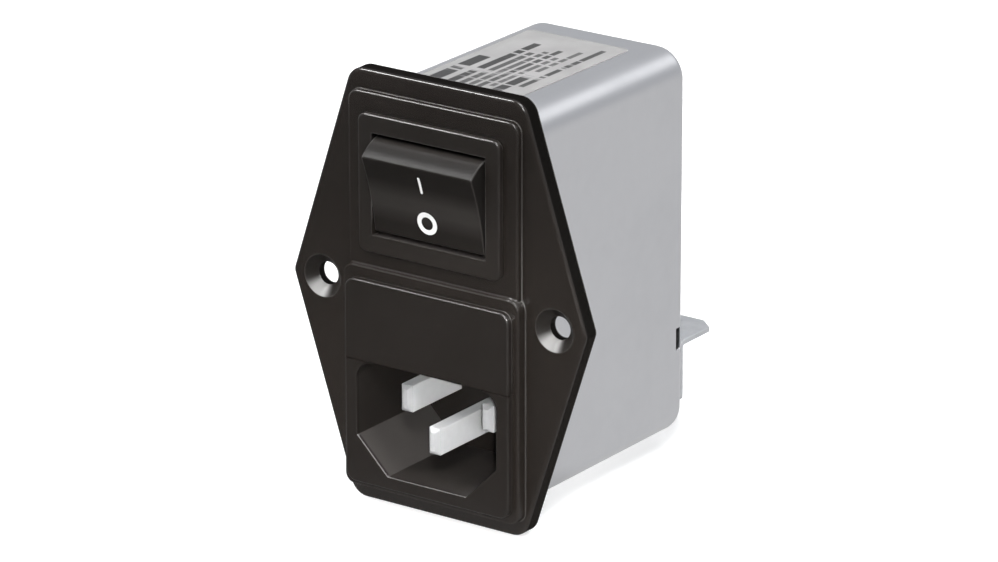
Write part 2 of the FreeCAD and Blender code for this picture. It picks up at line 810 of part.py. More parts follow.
def make_fuse(side, sign):
    """Glass tube, two caps and the fuse wire, end to end along the depth."""
    x = fuse_offset * sign
    cap_bore = d.fuse_cap_radius - d.fuse_cap_wall
    glass = cap_bore - d.blade_clearance
    end = d.fuse_cap_end
    tube_start = fuse_start + end + d.seat_clearance
    tube_length = d.fuse_length - (end + d.seat_clearance) * 2
    tube = cut(
        rod(glass, tube_length, "Y", x, tube_start, fuse_axis),
        rod(glass - d.fuse_glass_wall, d.fuse_length, "Y", x, fuse_start, fuse_axis),
    )
    add_node(tube, f"{side}_fuse_glass")
    bore_length = d.fuse_cap_length - end + over
    rear = fuse_end - d.fuse_cap_length
    caps = (("front", fuse_start, fuse_start + end), ("rear", rear, rear - over))
    for place_name, first, bore_start in caps:
        cap = cut(
            rod(d.fuse_cap_radius, d.fuse_cap_length, "Y", x, first, fuse_axis),
            rod(cap_bore, bore_length, "Y", x, bore_start, fuse_axis),
        )
        add_node(cap, f"{side}_fuse_{place_name}_cap")
    wire = rod(d.fuse_wire_radius, d.fuse_length - end * 2, "Y", x, fuse_start + end, fuse_axis)
    add_node(wire, f"{side}_fuse_wire")


# Fuse contacts: bent strips that press on the caps, above at the front and below at the back
def make_front_contact(side, sign):
    body = new_body(f"{side}_front_fuse_contact")
    x = fuse_offset * sign
    thick = d.strip_thickness
    touch = fuse_axis + d.fuse_cap_radius + d.contact_gap
    seat = bay_roof
    tail, tail_top = front_contact_tail, housing_top + d.contact_tail_rise
    crest = fuse_start + d.contact_crest
    lead = crest - d.contact_lead
    points = [
        (tail + thick, seat - thick), (tail + thick, tail_top), (tail, tail_top), (tail, seat),
        (crest + d.contact_slope, seat), (crest + d.contact_flat, touch + thick),
        (crest - d.contact_flat, touch + thick), (lead, touch + thick * 2.5),
        (lead - thick * 0.7, touch + thick * 0.75), (crest - d.contact_flat, touch),
        (crest + d.contact_flat, touch), (crest + d.contact_slope + thick * 0.7, seat - thick),
    ]
    half = d.contact_width / 2
    pad_across(body, draw, x - half, x + half, points)
    return body


def make_rear_contact(side, sign):
    body = new_body(f"{side}_rear_fuse_contact")
    x = fuse_offset * sign
    thick = d.strip_thickness
    touch = fuse_axis - d.fuse_cap_radius - d.contact_gap
    seat = bay_floor
    tail, foot = pin_tail_end, pin_row - d.pin_tail_thickness
    crest = fuse_end - d.contact_crest
    lead = crest - d.contact_slope
    points = [
        (tail, seat), (tail, foot), (tail + thick, foot), (tail + thick, seat + thick),
        (tail - thick * 3, seat + thick), (crest + d.contact_flat, touch), (crest - d.contact_flat, touch),
        (lead, touch - thick * 2.25), (lead + thick * 0.5, touch - thick * 3.25),
        (crest - d.contact_flat, touch - thick), (crest + d.contact_flat, touch - thick),
        (tail - thick * 3.5, seat),
    ]
    half = d.contact_width / 2
    pad_across(body, draw, x - half, x + half, points)
    return body


# Link strips from the front fuse contacts to the switch, and from the switch to the board
def make_fuse_link(side, sign):
    body = new_body(f"{side}_fuse_link")
    x = fuse_offset * sign
    thick = d.strip_thickness
    low = housing_top + d.contact_tail_rise
    start, end = front_contact_tail - thick * 2, terminal_end + thick
    high = fixed_contact_height + d.link_overlap
    points = [
        (start, low), (end, low), (end, high),
        (terminal_end, high), (terminal_end, low + thick), (start, low + thick),
    ]
    half = d.fuse_link_width / 2
    pad_across(body, draw, x - half, x + half, points)
    return body


def make_board_link(side, sign):
    x = pole_offset * sign
    half = d.board_link_width / 2
    low = switch_centre + d.terminal_thickness / 2
    along = (terminal_end - d.link_overlap * 4, board_back + d.peg_end - d.seam)
    strip = box((x - half, x + half), along, (low, low + d.strip_thickness))
    return add_node(strip, f"{side}_board_link")


# Switch body: bezel, box with a middle wall, bearings for the rocker, slots for the terminals
def make_switch_body():
    body = new_body("switch_body")
    bezel_x = (-bezel_half_width, bezel_half_width)
    bezel_z = (switch_centre - bezel_half_height, switch_centre + bezel_half_height)
    corner = d.bezel_corner_radius
    bezel = pad_between(body, draw_rounded, bezel_face, platform_face, bezel_x, bezel_z, corner)
    doc.recompute()
    round_edges(body, bezel, edges_at_depth(bezel, bezel_face), d.step_edge_radius)
    low, high = switch_centre - switch_half_height, switch_centre + switch_half_height
    case_x = (-switch_half_width, switch_half_width)
    pad_between(body, draw_rectangle, platform_face, switch_depth, case_x, (low, high))
    window_x = (-window_half_width, window_half_width)
    window_z = (switch_centre - window_half_height, switch_centre + window_half_height)
    inner_end = switch_depth - d.switch_floor
    pocket_between(body, draw_rectangle, bezel_face - over, inner_end, window_x, window_z)
    wall_front = d.rocker_pivot_depth + d.boss_length + d.pole_wall_gap
    wall_x = (-d.pole_wall / 2, d.pole_wall / 2)
    pad_between(body, draw_rectangle, wall_front, inner_end, wall_x, window_z)
    hole = d.trunnion_radius + d.seat_clearance
    reach = d.rocker_half_width + d.trunnion_length + d.seat_clearance
    pocket_across(body, draw_circles, -reach, reach, [(d.rocker_pivot_depth, switch_centre)], hole)
    thin = d.terminal_thickness / 2 + d.blade_clearance
    half = d.terminal_width / 2 + d.blade_clearance
    for x in (-pole_offset, pole_offset):
        for row in (switch_centre, fixed_contact_height):
            slot = ((x - half, x + half), (row - thin, row + thin))
            pocket_between(body, draw_rectangle, inner_end - over, switch_depth + over, *slot)
    add_snap_noses(body, ((low, -1), (high, 1)))
    return body


# Rocker: concave face, round ends about the pivot, hollow, two bosses, two trunnions
def make_rocker():
    body = new_body("rocker")
    face, radius, skirt = d.rocker_face, d.rocker_radius, d.rocker_skirt
    ridge = root(radius * radius - face * face)
    heel = root(radius * radius - skirt * skirt)
    half = d.rocker_half_width
    outline = [(-face, ridge), (-face, -ridge), (skirt, -heel), (skirt, heel)]
    shapes = {0: (d.rocker_face_radius, -1), 1: (radius, 1), 3: (radius, 1)}
    shell = pad_across(body, draw, -half, half, outline, shapes)
    doc.recompute()
    ridges = [
        f"Edge{index}" for index, edge in enumerate(shell.Shape.Edges, start=1)
        if edge.BoundBox.XLength > half.number and edge.CenterOfMass.y < -face.number / 2
    ]
    round_edges(body, shell, ridges, d.rocker_ridge_radius)
    wall = d.rocker_wall
    inner_face = face - d.rocker_face_wall
    inner_radius = radius - wall
    inner_ridge = root(inner_radius * inner_radius - inner_face * inner_face)
    open_end = skirt + over
    inner_heel = root(inner_radius * inner_radius - open_end * open_end)
    hollow = [
        (-inner_face, inner_ridge), (-inner_face, -inner_ridge),
        (open_end, -inner_heel), (open_end, inner_heel),
    ]
    pocket_across(body, draw, wall - half, half - wall, hollow, {1: (inner_radius, 1), 3: (inner_radius, 1)})
    bosses = [(-pole_offset, 0), (pole_offset, 0)]
    pad_between(body, draw_circles, -inner_face - d.seam, d.boss_length, bosses, d.boss_radius)
    bore = d.plunger_radius + d.seat_clearance
    pocket_between(body, draw_circles, d.boss_floor - inner_face, d.boss_length + over, bosses, bore)
    reach = half + d.trunnion_length
    pad_across(body, draw_circles, -reach, wall - half, [(0, 0)], d.trunnion_radius)
    pad_across(body, draw_circles, half - wall, reach, [(0, 0)], d.trunnion_radius)
    turn(body, FreeCAD.Vector(1, 0, 0), d.rocker_tilt)
    place(body, 0, d.rocker_pivot_depth, switch_centre)
    return body


# Plungers with a ball tip, and their springs, in the rocker's bosses
def make_plunger(side, sign):
    body = new_body(f"{side}_plunger")
    radius, reach = d.plunger_radius, d.plunger_reach
    start = reach - d.plunger_length
    section = [(0, start), (radius, start), (radius, reach - radius), (0, reach)]
    sketch = draw(body, "XY_Plane", as_size(0), section, {2: (radius, 1)})
    turned = body.newObject("PartDesign::Revolution", "Turned")
    turned.Profile = sketch
    turned.ReferenceAxis = (sketch, ["V_Axis"])
    turned.Angle = 360
    turn(body, FreeCAD.Vector(1, 0, 0), d.rocker_tilt)
    place(body, pole_offset * sign, d.rocker_pivot_depth, switch_centre)
    return body


def make_plunger_spring(side, sign):
    """Coil of square wire between the boss's floor and the plunger's end."""
    wire = d.spring_wire.number
    floor = (d.boss_floor + d.rocker_face_wall - d.rocker_face).number
    start = (d.plunger_reach - d.plunger_length).number
    outer = (d.plunger_radius - d.seam).number
    rise = start - floor - wire
    helix = Part.makeHelix(rise / d.spring_turns.number, rise, outer - wire)
    corners = [(outer - wire, -wire / 2), (outer, -wire / 2), (outer, wire / 2), (outer - wire, wire / 2)]
    corners.append(corners[0])
    section = Part.makePolygon([FreeCAD.Vector(x, 0, z) for x, z in corners])
    spring = doc.addObject("Part::Feature", f"{side}_plunger_spring")
    spring.Shape = Part.Wire(helix.Edges).makePipeShell([section], True, True)
    tilt = FreeCAD.Rotation(FreeCAD.Vector(1, 0, 0), d.rocker_tilt.number)
    along = FreeCAD.Rotation(FreeCAD.Vector(1, 0, 0), -90)
    pivot = FreeCAD.Vector((pole_offset * sign).number, d.rocker_pivot_depth.number, switch_centre.number)
    foot = pivot + tilt.multVec(FreeCAD.Vector(0, floor + wire / 2, 0))
    spring.Placement = FreeCAD.Placement(foot, tilt.multiply(along))
    return add_node(spring, f"{side}_plunger_spring")


# Seesaw contact levers: V-shaped strips that rock on the middle terminals
def make_lever(side, sign):
    body = new_body(f"{side}_contact_lever")
    bend = tangent(d.lever_bend)
    reach, thick = d.lever_half_length, d.lever_thickness
    front = -d.lever_trough
    tip = front - bend * reach
    section = [
        (front, 0), (tip, reach), (tip + thick, reach), (front + thick, 0.0),
        (tip + thick, -reach), (tip, -reach),
    ]
    half = d.lever_width / 2
    pad_across(body, draw, -half, half, section)
    row = d.fixed_contact_row - d.contact_offset
    behind = front + thick - bend * row
    start, end = behind - thick / 2, behind + d.contact_rise
    pad_between(body, draw_circles, start, end, [(0, -row)], d.contact_radius)
    turn(body, FreeCAD.Vector(1, 0, 0), -d.lever_tilt)
    place(body, pole_offset * sign, lever_pivot_depth, switch_centre)
    return body


def make_middle_terminal(side, sign):
    """Blade with a rounded front edge, on which the lever rocks."""
    x = pole_offset * sign
    thin = d.terminal_thickness / 2
    half = d.terminal_width / 2
    rows = (switch_centre - thin, switch_centre + thin)
    blade = box((x - half, x + half), (lever_pivot_depth, terminal_end), rows)
    nose = rod(thin, d.terminal_width, "X", x - half, lever_pivot_depth, switch_centre)
    return add_node(fuse(blade, nose), f"{side}_middle_terminal")


def make_outer_terminal(side, sign):
    """Blade that carries the fixed contact."""
    x = pole_offset * sign
    thin = d.terminal_thickness / 2
    half = d.terminal_width / 2
    row = fixed_contact_height
    start = lever_pivot_depth + d.terminal_gap
    blade = box((x - half, x + half), (start, terminal_end), (row - thin, row + thin))
    contact = rod(d.contact_radius, start + thin - contact_front, "Y", x, contact_front, row)
    return add_node(fuse(blade, contact), f"{side}_outer_terminal")


# Metal can: drawn box with large long edges, open at the front
def make_metal_can():
    body = new_body("metal_can")
    outer_x = (-can_half_width, can_half_width)
    outer_z = (-d.can_half_height, d.can_half_height)
    mouth = d.seat_clearance - d.groove_depth
    shell = pad_between(body, draw_rounded, mouth, can_depth, outer_x, outer_z, d.can_long_radius)
    doc.recompute()
    round_edges(body, shell, edges_at_depth(shell, can_depth), d.can_end_radius)
    inner_x = (-can_inner_width, can_inner_width)
    inner_z = (-can_inner_height, can_inner_height)
    inner_radius = d.can_long_radius - d.can_wall
    hollow = pocket_between(body, draw_rounded, mouth - over, can_inner_end, inner_x, inner_z, inner_radius)
    doc.recompute()
    round_edges(body, hollow, edges_at_depth(hollow, can_inner_end), d.can_end_radius - d.can_wall)
    slot_y = (can_depth - d.slot_setback - d.slot_width, can_depth - d.slot_setback)
    slot_z = (slot_centre - d.slot_length / 2, slot_centre + d.slot_length / 2)
    pocket_across(body, draw_rectangle, can_inner_width - over, can_half_width + over, slot_y, slot_z)
    window = insulator_outline(as_size(0))
    pocket_between(body, draw_rectangle, can_inner_end - over, can_depth + over, *window)
    hole = [(rivet_column, rivet_row)]
    rivet = d.rivet_radius + d.blade_clearance
    pocket_between(body, draw_circles, can_inner_end - over, can_depth + over, hole, rivet)
    return body


def insulator_outline(margin):
    """The rear window of the can, which the load tabs' insulator fills, larger all round by a margin."""
    half = d.tab_width / 2 + d.insulator_side + margin
    reach = d.insulator_margin + margin
    x_range = (load_tab_column - half, load_tab_column + half)
    return x_range, (load_tab_lower_row - reach, load_tab_upper_row + reach)


# Earth tab: right-angled strip riveted to the back of the can
def make_earth_tab():
    body = new_body("earth_tab")
    left, right = earth_tab_right - d.earth_tab_width, earth_tab_right
    thick, bend = d.tab_thickness, d.tab_bend_radius
    top, end = earth_tab_row, earth_tab_end
    low = top - d.earth_tab_leg
    inner = bend - thick
    back = can_depth
    points = [
        (back, low), (back + thick, low), (back + thick, top - bend), (back + bend, top - thick),
        (end, top - thick), (end, top), (back + bend, top), (back, top - bend),
    ]
    pad_across(body, draw, left, right, points, {2: (inner, -1), 6: (bend, 1)})
    for edge, inward in ((left, 1), (right, -1)):
        taper = [
            (edge - over * inward, end - d.tab_corner), (edge, end - d.tab_corner),
            (edge + d.earth_tab_taper * inward, end), (edge + d.earth_tab_taper * inward, end + over),
            (edge - over * inward, end + over),
        ]
        pocket(body, draw(body, "XY_Plane", top + over, taper), thick + over * 2)
    hole = [(rivet_column, rivet_row)]
    rivet = d.rivet_radius + d.blade_clearance
    pocket_between(body, draw_circles, back - over, back + thick + over, hole, rivet)
    return body


def make_earth_rivet():
    head = d.rivet_head_thickness
    inner = can_inner_end - head
    outer = can_depth + d.tab_thickness
    centre = (rivet_column, inner, rivet_row)
    shank = rod(d.rivet_radius, outer - inner, "Y", *centre)
    tail = rod(d.rivet_tail_radius, head, "Y", *centre)
    cap = rod(d.rivet_head_radius, head, "Y", rivet_column, outer, rivet_row)
    return add_node(fuse(shank, tail, cap), "earth_rivet")


# Load tabs, and the moulded insulator that carries them through the can
def make_insulator():
    body = new_body("terminal_insulator")
    plug = insulator_outline(-d.seat_clearance)
    lip = insulator_outline(d.insulator_lip)
    lip_start = can_inner_end - d.insulator_lip_thickness
    pad_between(body, draw_rectangle, lip_start, can_inner_end, *lip)
    pad_between(body, draw_rectangle, can_inner_end, can_depth + d.insulator_proud, *plug)
    half = d.tab_width / 2 + d.blade_clearance
    thin = d.tab_thickness / 2 + d.blade_clearance
    for row in (load_tab_upper_row, load_tab_lower_row):
        slot = ((load_tab_column - half, load_tab_column + half), (row - thin, row + thin))
        pocket_between(body, draw_rectangle, lip_start - over, can_depth + over, *slot)
    return body


def make_load_tab(label, row):
    body = new_body(label)
    half, foot = d.tab_width / 2, d.load_tab_foot / 2
    x = load_tab_column
    shoulder = tab_end - d.tab_corner
    start = board_back - d.board_thickness / 2
    points = [
        (x - half, board_back), (x - foot, board_back), (x - foot, start), (x + foot, start),
        (x + foot, board_back), (x + half, board_back), (x + half, shoulder),
        (x + half - d.tab_taper, tab_end), (x - half + d.tab_taper, tab_end), (x - half, shoulder),
    ]
    pad(body, draw(body, "XY_Plane", row - d.tab_thickness / 2, points), d.tab_thickness)
    eye = [(x, tab_end - d.tab_eye_setback)]
    sketch = draw_circles(body, "XY_Plane", row + d.tab_thickness, eye, d.tab_eye_radius)
    pocket(body, sketch, d.tab_thickness * 2)
    return body


# Circuit board with holes for the pegs and slots for the links and tabs
def make_board():
    body = new_body("circuit_board")
    board_x, board_z = (-board_half_width, board_half_width), (-board_half_height, board_half_height)
    pad_between(body, draw_rounded, board_front, board_back, board_x, board_z, d.board_corner_radius)
    front, back = board_front - over, board_back + over
    pegs = [(-peg_column, peg_row), (peg_column, peg_row)]
    pocket_between(body, draw_circles, front, back, pegs, d.peg_radius + d.seat_clearance)
    gap = d.seat_clearance
    link_low = switch_centre + d.terminal_thickness / 2 - gap
    link_high = link_low + d.strip_thickness + gap * 2
    link = d.board_link_width / 2 + gap
    for x in (-pole_offset, pole_offset):
        pocket_between(body, draw_rectangle, front, back, (x - link, x + link), (link_low, link_high))
    foot = d.load_tab_foot / 2 + gap
    thin = d.tab_thickness / 2 + gap
    foot_x = (load_tab_column - foot, load_tab_column + foot)
    for row in (load_tab_upper_row, load_tab_lower_row):
        pocket_between(body, draw_rectangle, front, back, foot_x, (row - thin, row + thin))
    return body


# Choke, capacitors and resistor, which stand on the board
def make_choke():
    """Ring core and two half windings that stand clear of each other."""
    skin, gap = d.winding_thickness, d.seat_clearance
    thick = d.choke_thickness
    start = board_back + skin + d.choke_standoff
    core = cut(
        rod(d.choke_radius, thick, "Y", 0, start, choke_centre),
        rod(d.choke_hole_radius, thick + over * 2, "Y", 0, start - over, choke_centre),
    )
    add_node(core, "choke_core")
    far = d.choke_radius + skin + over
    for side, sign in sides:
        room = cut(
            rod(d.choke_radius + gap, thick + gap * 2, "Y", 0, start - gap, choke_centre),
            rod(d.choke_hole_radius - gap, thick + over * 2, "Y", 0, start - over, choke_centre),
        )
        sleeve = cut(
            rod(d.choke_radius + skin, thick + skin * 2, "Y", 0, start - skin, choke_centre),
            rod(d.choke_hole_radius - skin, thick + over * 4, "Y", 0, start - over * 2, choke_centre),
            room,
        )
        near = d.winding_gap / 2
        keep_x = (near, far) if sign > 0 else (-far, -near)
        half = doc.addObject("Part::Common", "HalfWinding")
        half.Base = sleeve
        keep_z = (choke_centre - far, choke_centre + far)
        half.Tool = box(keep_x, (start - over, start + thick + over), keep_z)
        add_node(half, f"{side}_choke_winding")


def make_capacitors():
    half = d.capacitor_width / 2
    back = can_inner_end - d.capacitor_clearance
    block = box((-half, half), (board_back, back), (capacitor_bottom, capacitor_top))
    add_node(block, "filter_capacitor")
    for label, row in (("upper", load_tab_upper_row), ("lower", load_tab_lower_row)):
        disc = rod(d.disc_radius, d.disc_thickness, "Y", disc_column, board_back, row - d.disc_drop)
        add_node(disc, f"{label}_earth_capacitor")
    start = (load_tab_upper_row + load_tab_lower_row - d.resistor_length) / 2
    standing = (d.resistor_column, board_back + d.resistor_radius, start)
    add_node(rod(d.resistor_radius, d.resistor_length, "Z", *standing), "discharge_resistor")


def make_liner():
    """Thin insulating sleeve inside the back of the can."""
    body = new_body("insulating_liner")
    start, end = board_back + d.can_clearance, can_inner_end - d.liner_end_gap
    half, tall = can_inner_width - d.liner_clearance, can_inner_height - d.liner_clearance
    radius = d.can_long_radius - d.can_wall - d.liner_clearance
    sleeve = draw_rounded(body, "XZ_Plane", -end, (-half, half), (-tall, tall), radius)
    thick = d.liner_thickness
    add_rounded_hole(sleeve, half - thick, tall - thick, radius - thick)
    pad(body, sleeve, end - start)
    return body


def make_earth_strap():
    """Strip from the earth pin down to the wall of the can."""
    body = new_body("earth_strap")
    thick = d.strap_thickness
    near = housing_back + d.seam
    foot = near + d.strap_foot
    low, top = -can_inner_height, earth_pin_row + d.strap_rise
    points = [
        (near, low), (foot, low), (foot, low + thick),
        (near + thick, low + thick), (near + thick, top), (near, top),
    ]
    half = d.strap_width / 2
    pad_across(body, draw, -half, half, points)
    wide, tall = d.pin_width / 2 + d.blade_clearance, d.pin_height / 2 + d.blade_clearance
    hole_z = (earth_pin_row - tall, earth_pin_row + tall)
    pocket_between(body, draw_rectangle, near - over, near + over, (-wide, wide), hole_z)
    return body


make_front_flange()
make_inlet_housing()
for side, sign in sides:
    make_pin(f"{side}_pin", pin_offset * sign, pin_row, d.pin_setback)
make_pin("earth_pin", as_size(0), earth_pin_row, d.earth_pin_setback)
make_fuse_drawer()
make_switch_body()
make_rocker()
for side, sign in sides:
    make_fuse(side, sign)
    make_front_contact(side, sign)
    make_rear_contact(side, sign)
    make_fuse_link(side, sign)
    make_board_link(side, sign)
    make_plunger(side, sign)
    make_plunger_spring(side, sign)
    make_lever(side, sign)
    make_middle_terminal(side, sign)
    make_outer_terminal(side, sign)
make_metal_can()
make_earth_tab()
make_earth_rivet()
make_insulator()
make_load_tab("upper_load_tab", load_tab_upper_row)
make_load_tab("lower_load_tab", load_tab_lower_row)
make_board()
make_choke()
make_capacitors()
make_liner()
make_earth_strap()

doc.recompute()

for item in doc.Objects:
    if "Invalid" in item.State or "Error" in item.State:
        raise RuntimeError(f"{item.Label} ({item.TypeId}) failed: {item.State}")
for node in nodes:
    if node.Shape.isNull() or not node.Shape.isValid():
        raise RuntimeError(f"{node.Label} has no valid shape")

os.makedirs("parts", exist_ok=True)
for node in nodes:
    node.Shape.exportStep(f"parts/{node.Label}.step")
    print(f"{node.Label}: {len(node.Shape.Solids)} solid, {node.Shape.Volume:.2f} cubic mm")
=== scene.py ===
import json
import math

import bmesh
import bpy
import numpy as np
from mathutils import Matrix

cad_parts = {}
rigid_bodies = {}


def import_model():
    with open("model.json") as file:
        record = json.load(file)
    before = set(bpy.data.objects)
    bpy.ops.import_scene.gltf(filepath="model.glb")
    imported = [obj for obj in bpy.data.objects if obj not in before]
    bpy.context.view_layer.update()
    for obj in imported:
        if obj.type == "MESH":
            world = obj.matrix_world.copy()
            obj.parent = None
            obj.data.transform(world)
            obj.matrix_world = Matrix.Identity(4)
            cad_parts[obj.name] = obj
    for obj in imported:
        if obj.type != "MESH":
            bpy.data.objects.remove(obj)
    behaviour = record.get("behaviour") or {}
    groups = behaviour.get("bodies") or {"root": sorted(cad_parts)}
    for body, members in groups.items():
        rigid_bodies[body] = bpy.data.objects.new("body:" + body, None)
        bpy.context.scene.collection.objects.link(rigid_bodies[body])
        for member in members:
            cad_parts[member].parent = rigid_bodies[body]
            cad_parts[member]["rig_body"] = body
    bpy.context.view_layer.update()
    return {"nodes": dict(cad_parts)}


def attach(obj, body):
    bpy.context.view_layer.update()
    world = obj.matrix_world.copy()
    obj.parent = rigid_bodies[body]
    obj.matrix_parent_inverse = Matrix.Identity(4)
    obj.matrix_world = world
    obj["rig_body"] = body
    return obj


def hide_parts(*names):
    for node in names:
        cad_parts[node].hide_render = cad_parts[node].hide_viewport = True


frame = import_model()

nodes = frame["nodes"]
mm = 0.001
print("frame loaded:", len(nodes), "nodes")


class Wire:
    # a socket of a material's nodes, on which sums can be written

    def __init__(self, tree, socket=None):
        self.tree = tree
        self.socket = socket

    def node(self, kind, settings=None, inputs=None, output=0):
        # adds any node; settings are set first, then the sockets' values or links
        made = self.tree.nodes.new(kind)
        for name, value in (settings or {}).items():
            setattr(made, name, value)
        for name, value in (inputs or {}).items():
            if isinstance(value, Wire):
                self.tree.links.new(value.socket, made.inputs[name])
            else:
                made.inputs[name].default_value = value
        return Wire(self.tree, made.outputs[output] if made.outputs else None)

    def beside(self, output):
        # another output of the node that this one comes from
        return Wire(self.tree, self.socket.node.outputs[output])

    def maths(self, operation, first, second=0.0):
        return self.node("ShaderNodeMath", {"operation": operation}, {0: first, 1: second})

    def __add__(self, other):
        return self.maths("ADD", self, other)

    def __radd__(self, other):
        return self.maths("ADD", other, self)

    def __sub__(self, other):
        return self.maths("SUBTRACT", self, other)

    def __rsub__(self, other):
        return self.maths("SUBTRACT", other, self)

    def __mul__(self, other):
        return self.maths("MULTIPLY", self, other)

    def __rmul__(self, other):
        return self.maths("MULTIPLY", other, self)

    def __truediv__(self, other):
        return self.maths("DIVIDE", self, other)

    def __neg__(self):
        return self.maths("MULTIPLY", self, -1.0)

    def absolute(self):
        return self.maths("ABSOLUTE", self)

    def squareRoot(self):
        return self.maths("SQRT", self)

    def sign(self):
        return self.maths("SIGN", self)

    def atLeast(self, other):
        return self.maths("MAXIMUM", self, other)

    def atMost(self, other):
        return self.maths("MINIMUM", self, other)

    def between(self, low, high):
        # 0 below low, 1 above high and an even rise between them
        values = {"Value": self, "From Min": low, "From Max": high}
        return self.node("ShaderNodeMapRange", {"clamp": True}, values)

    def betweenMm(self, low, high):
        return self.between(low * mm, high * mm)

    def noise(self, size, detail=2.0, roughness=0.5, stretch=(1.0, 1.0, 1.0)):
        # soft random pattern from 0 to 1, its patches about size mm wide and longer along a stretched axis
        scale = tuple(1.0 / (size * mm * longer) for longer in stretch)
        scaled = self.node("ShaderNodeMapping", {}, {"Vector": self, "Scale": scale})
        values = {"Vector": scaled, "Scale": 1.0, "Detail": detail, "Roughness": roughness}
        return self.node("ShaderNodeTexNoise", {}, values)

    def blend(self, colourA, colourB):
        # a mix of two colours by this value; the Mix node's colour inputs are 6 and 7, its colour output 2
        values = {"Factor": self}
        for index, colour in ((6, colourA), (7, colourB)):
            values[index] = colour if isinstance(colour, Wire) else (*colour, 1.0)
        return self.node("ShaderNodeMix", {"data_type": "RGBA"}, values, output=2)


def newMaterial(name, fixed):
    # an empty Principled material; fixed values go on the shader's own sockets
    material = bpy.data.materials.new(name)
    material.use_nodes = True
    shader = material.node_tree.nodes["Principled BSDF"]
    for socketName, value in fixed.items():
        shader.inputs[socketName].default_value = value
    place = Wire(material.node_tree).node("ShaderNodeTexCoord", output="Object")
    return material, shader, place


def join(wire, shader, socketName):
    wire.tree.links.new(wire.socket, shader.inputs[socketName])


def bumpFrom(height, depth):
    # height from 0 to 1 stands for depth mm
    return height.node("ShaderNodeBump", {}, {"Height": height, "Distance": depth * mm})


def axes(wire):
    # the x, y and z of a place or direction
    first = wire.node("ShaderNodeSeparateXYZ", {}, {"Vector": wire}, output="X")
    return first, first.beside("Y"), first.beside("Z")


def normalOf(place):
    return place.node("ShaderNodeNewGeometry", output="Normal")


edgeSense = {"samples": 6, "turn": (0.01, 0.12)}  # 1 minus the cosine at which an edge starts and is full


def edgeOf(place, radius):
    # 1 along edges and 0 on flat faces: how far the normal turns when it is averaged over the radius in mm
    averaged = place.node("ShaderNodeBevel", {"samples": edgeSense["samples"]}, {"Radius": radius * mm})
    both = {0: averaged, 1: normalOf(place)}
    alike = place.node("ShaderNodeVectorMath", {"operation": "DOT_PRODUCT"}, both, output="Value")
    return (1.0 - alike).between(*edgeSense["turn"])


# the black mouldings; places, sizes and depths in mm, and what is called a share runs from 0 to 1
screwHoles = {"column": 20.0, "radius": 3.6, "seatEnd": -1.27}
plasticShades = {
    # pale colours: on edges partly wear and partly painted highlight; on walls in shade and on seats, painted
    # light
    "rubAndHighlight": (0.36, 0.35, 0.34), "paintedLitWall": (0.056, 0.051, 0.048), "seatHighlight": (0.29, 0.285, 0.28),
    # painted shade, plain and mottled, on faces that the lamps light too much
    "side": (0.0045, 0.0041, 0.0037), "sideShadeLight": (0.0095, 0.0087, 0.0080),
    # painted light from the floor on downward faces, and painted shade on the rocker's face
    "underside": (0.0135, 0.0120, 0.0108), "faceShade": (0.0056, 0.0040, 0.0030),
}
mouldedSkin = {  # what a finish has unless it says otherwise
    "specular": 0.14, "coat": 0.75, "coatRough": 0.24, "rubAndHighlight": 1.0, "edgeReach": 0.38,
    "flowSize": 9.0, "flowStretch": (1.0, 1.0, 2.2), "patchSize": 14.0,
    "scuffSize": 1.1, "scuffStretch": (3.0, 1.0, 0.7), "depth": 0.014,
    # how much each shows in the colour, in the roughness and in the relief
    "flowTone": 0.30, "scuffTone": 0.55, "flowRough": 0.14, "grainRough": 0.08, "scuffRough": 0.08,
    "grainHeight": 0.8, "scuffHeight": 0.25,
}
flangeBlack = {"colour": (0.0140, 0.0112, 0.0093), "paleTone": (0.025, 0.021, 0.0185)}
inletBlack = {"colour": (0.0105, 0.0082, 0.0067), "paleTone": (0.021, 0.0175, 0.0155)}
plasticFinishes = {
    "flangePlastic": {
        **flangeBlack, "rough": 0.55, "grain": 0.16, "specular": 0.0, "sideStart": -2.4,
        "quietEdge": {"x": (-15.5, 12.8), "z": (2.8, 4.2), "share": 0.85},
    },
    "inletPlastic": {
        **inletBlack, "rough": 0.52, "grain": 0.14, "rubAndHighlight": 1.5, "edgeReach": 0.62,
        "seam": -10.05, "socketStart": -5.1,
    },
    "drawerPlastic": {
        **inletBlack, "rough": 0.55, "grain": 0.15, "seam": -10.05,
        "quietEdge": {"x": (-15.0, 12.0), "z": (0.8, 2.5), "share": 0.45},
    },
    "bezelPlastic": {**flangeBlack, "rough": 0.54, "grain": 0.13, "paleEdgesAbove": 14.0},
    "rockerPlastic": {
        "colour": (0.0205, 0.0177, 0.0158), "paleTone": (0.032, 0.028, 0.0255), "rough": 0.56, "grain": 0.20,
        "coat": 0.20, "coatRough": 0.32, "rubAndHighlight": 0.9,
        # a band of painted light and shade on the face, painted shade on the round end and cheeks
        "paintedLightBand": (12.8, 16.5), "paintedEndShade": 0.54, "cheekShade": 0.65,
    },
    "seatPlastic": {
        "colour": (0.0130, 0.0110, 0.0095), "paleTone": (0.021, 0.018, 0.016), "rough": 0.50, "grain": 0.10,
        # a painted highlight on each seat
        "coat": 1.0, "coatRough": 0.34, "highlightTowards": 249.0,
    },
    "insulatorPlastic": {
        "colour": (0.030, 0.028, 0.027), "paleTone": (0.060, 0.056, 0.052), "rough": 0.55, "grain": 0.20,
    },
}


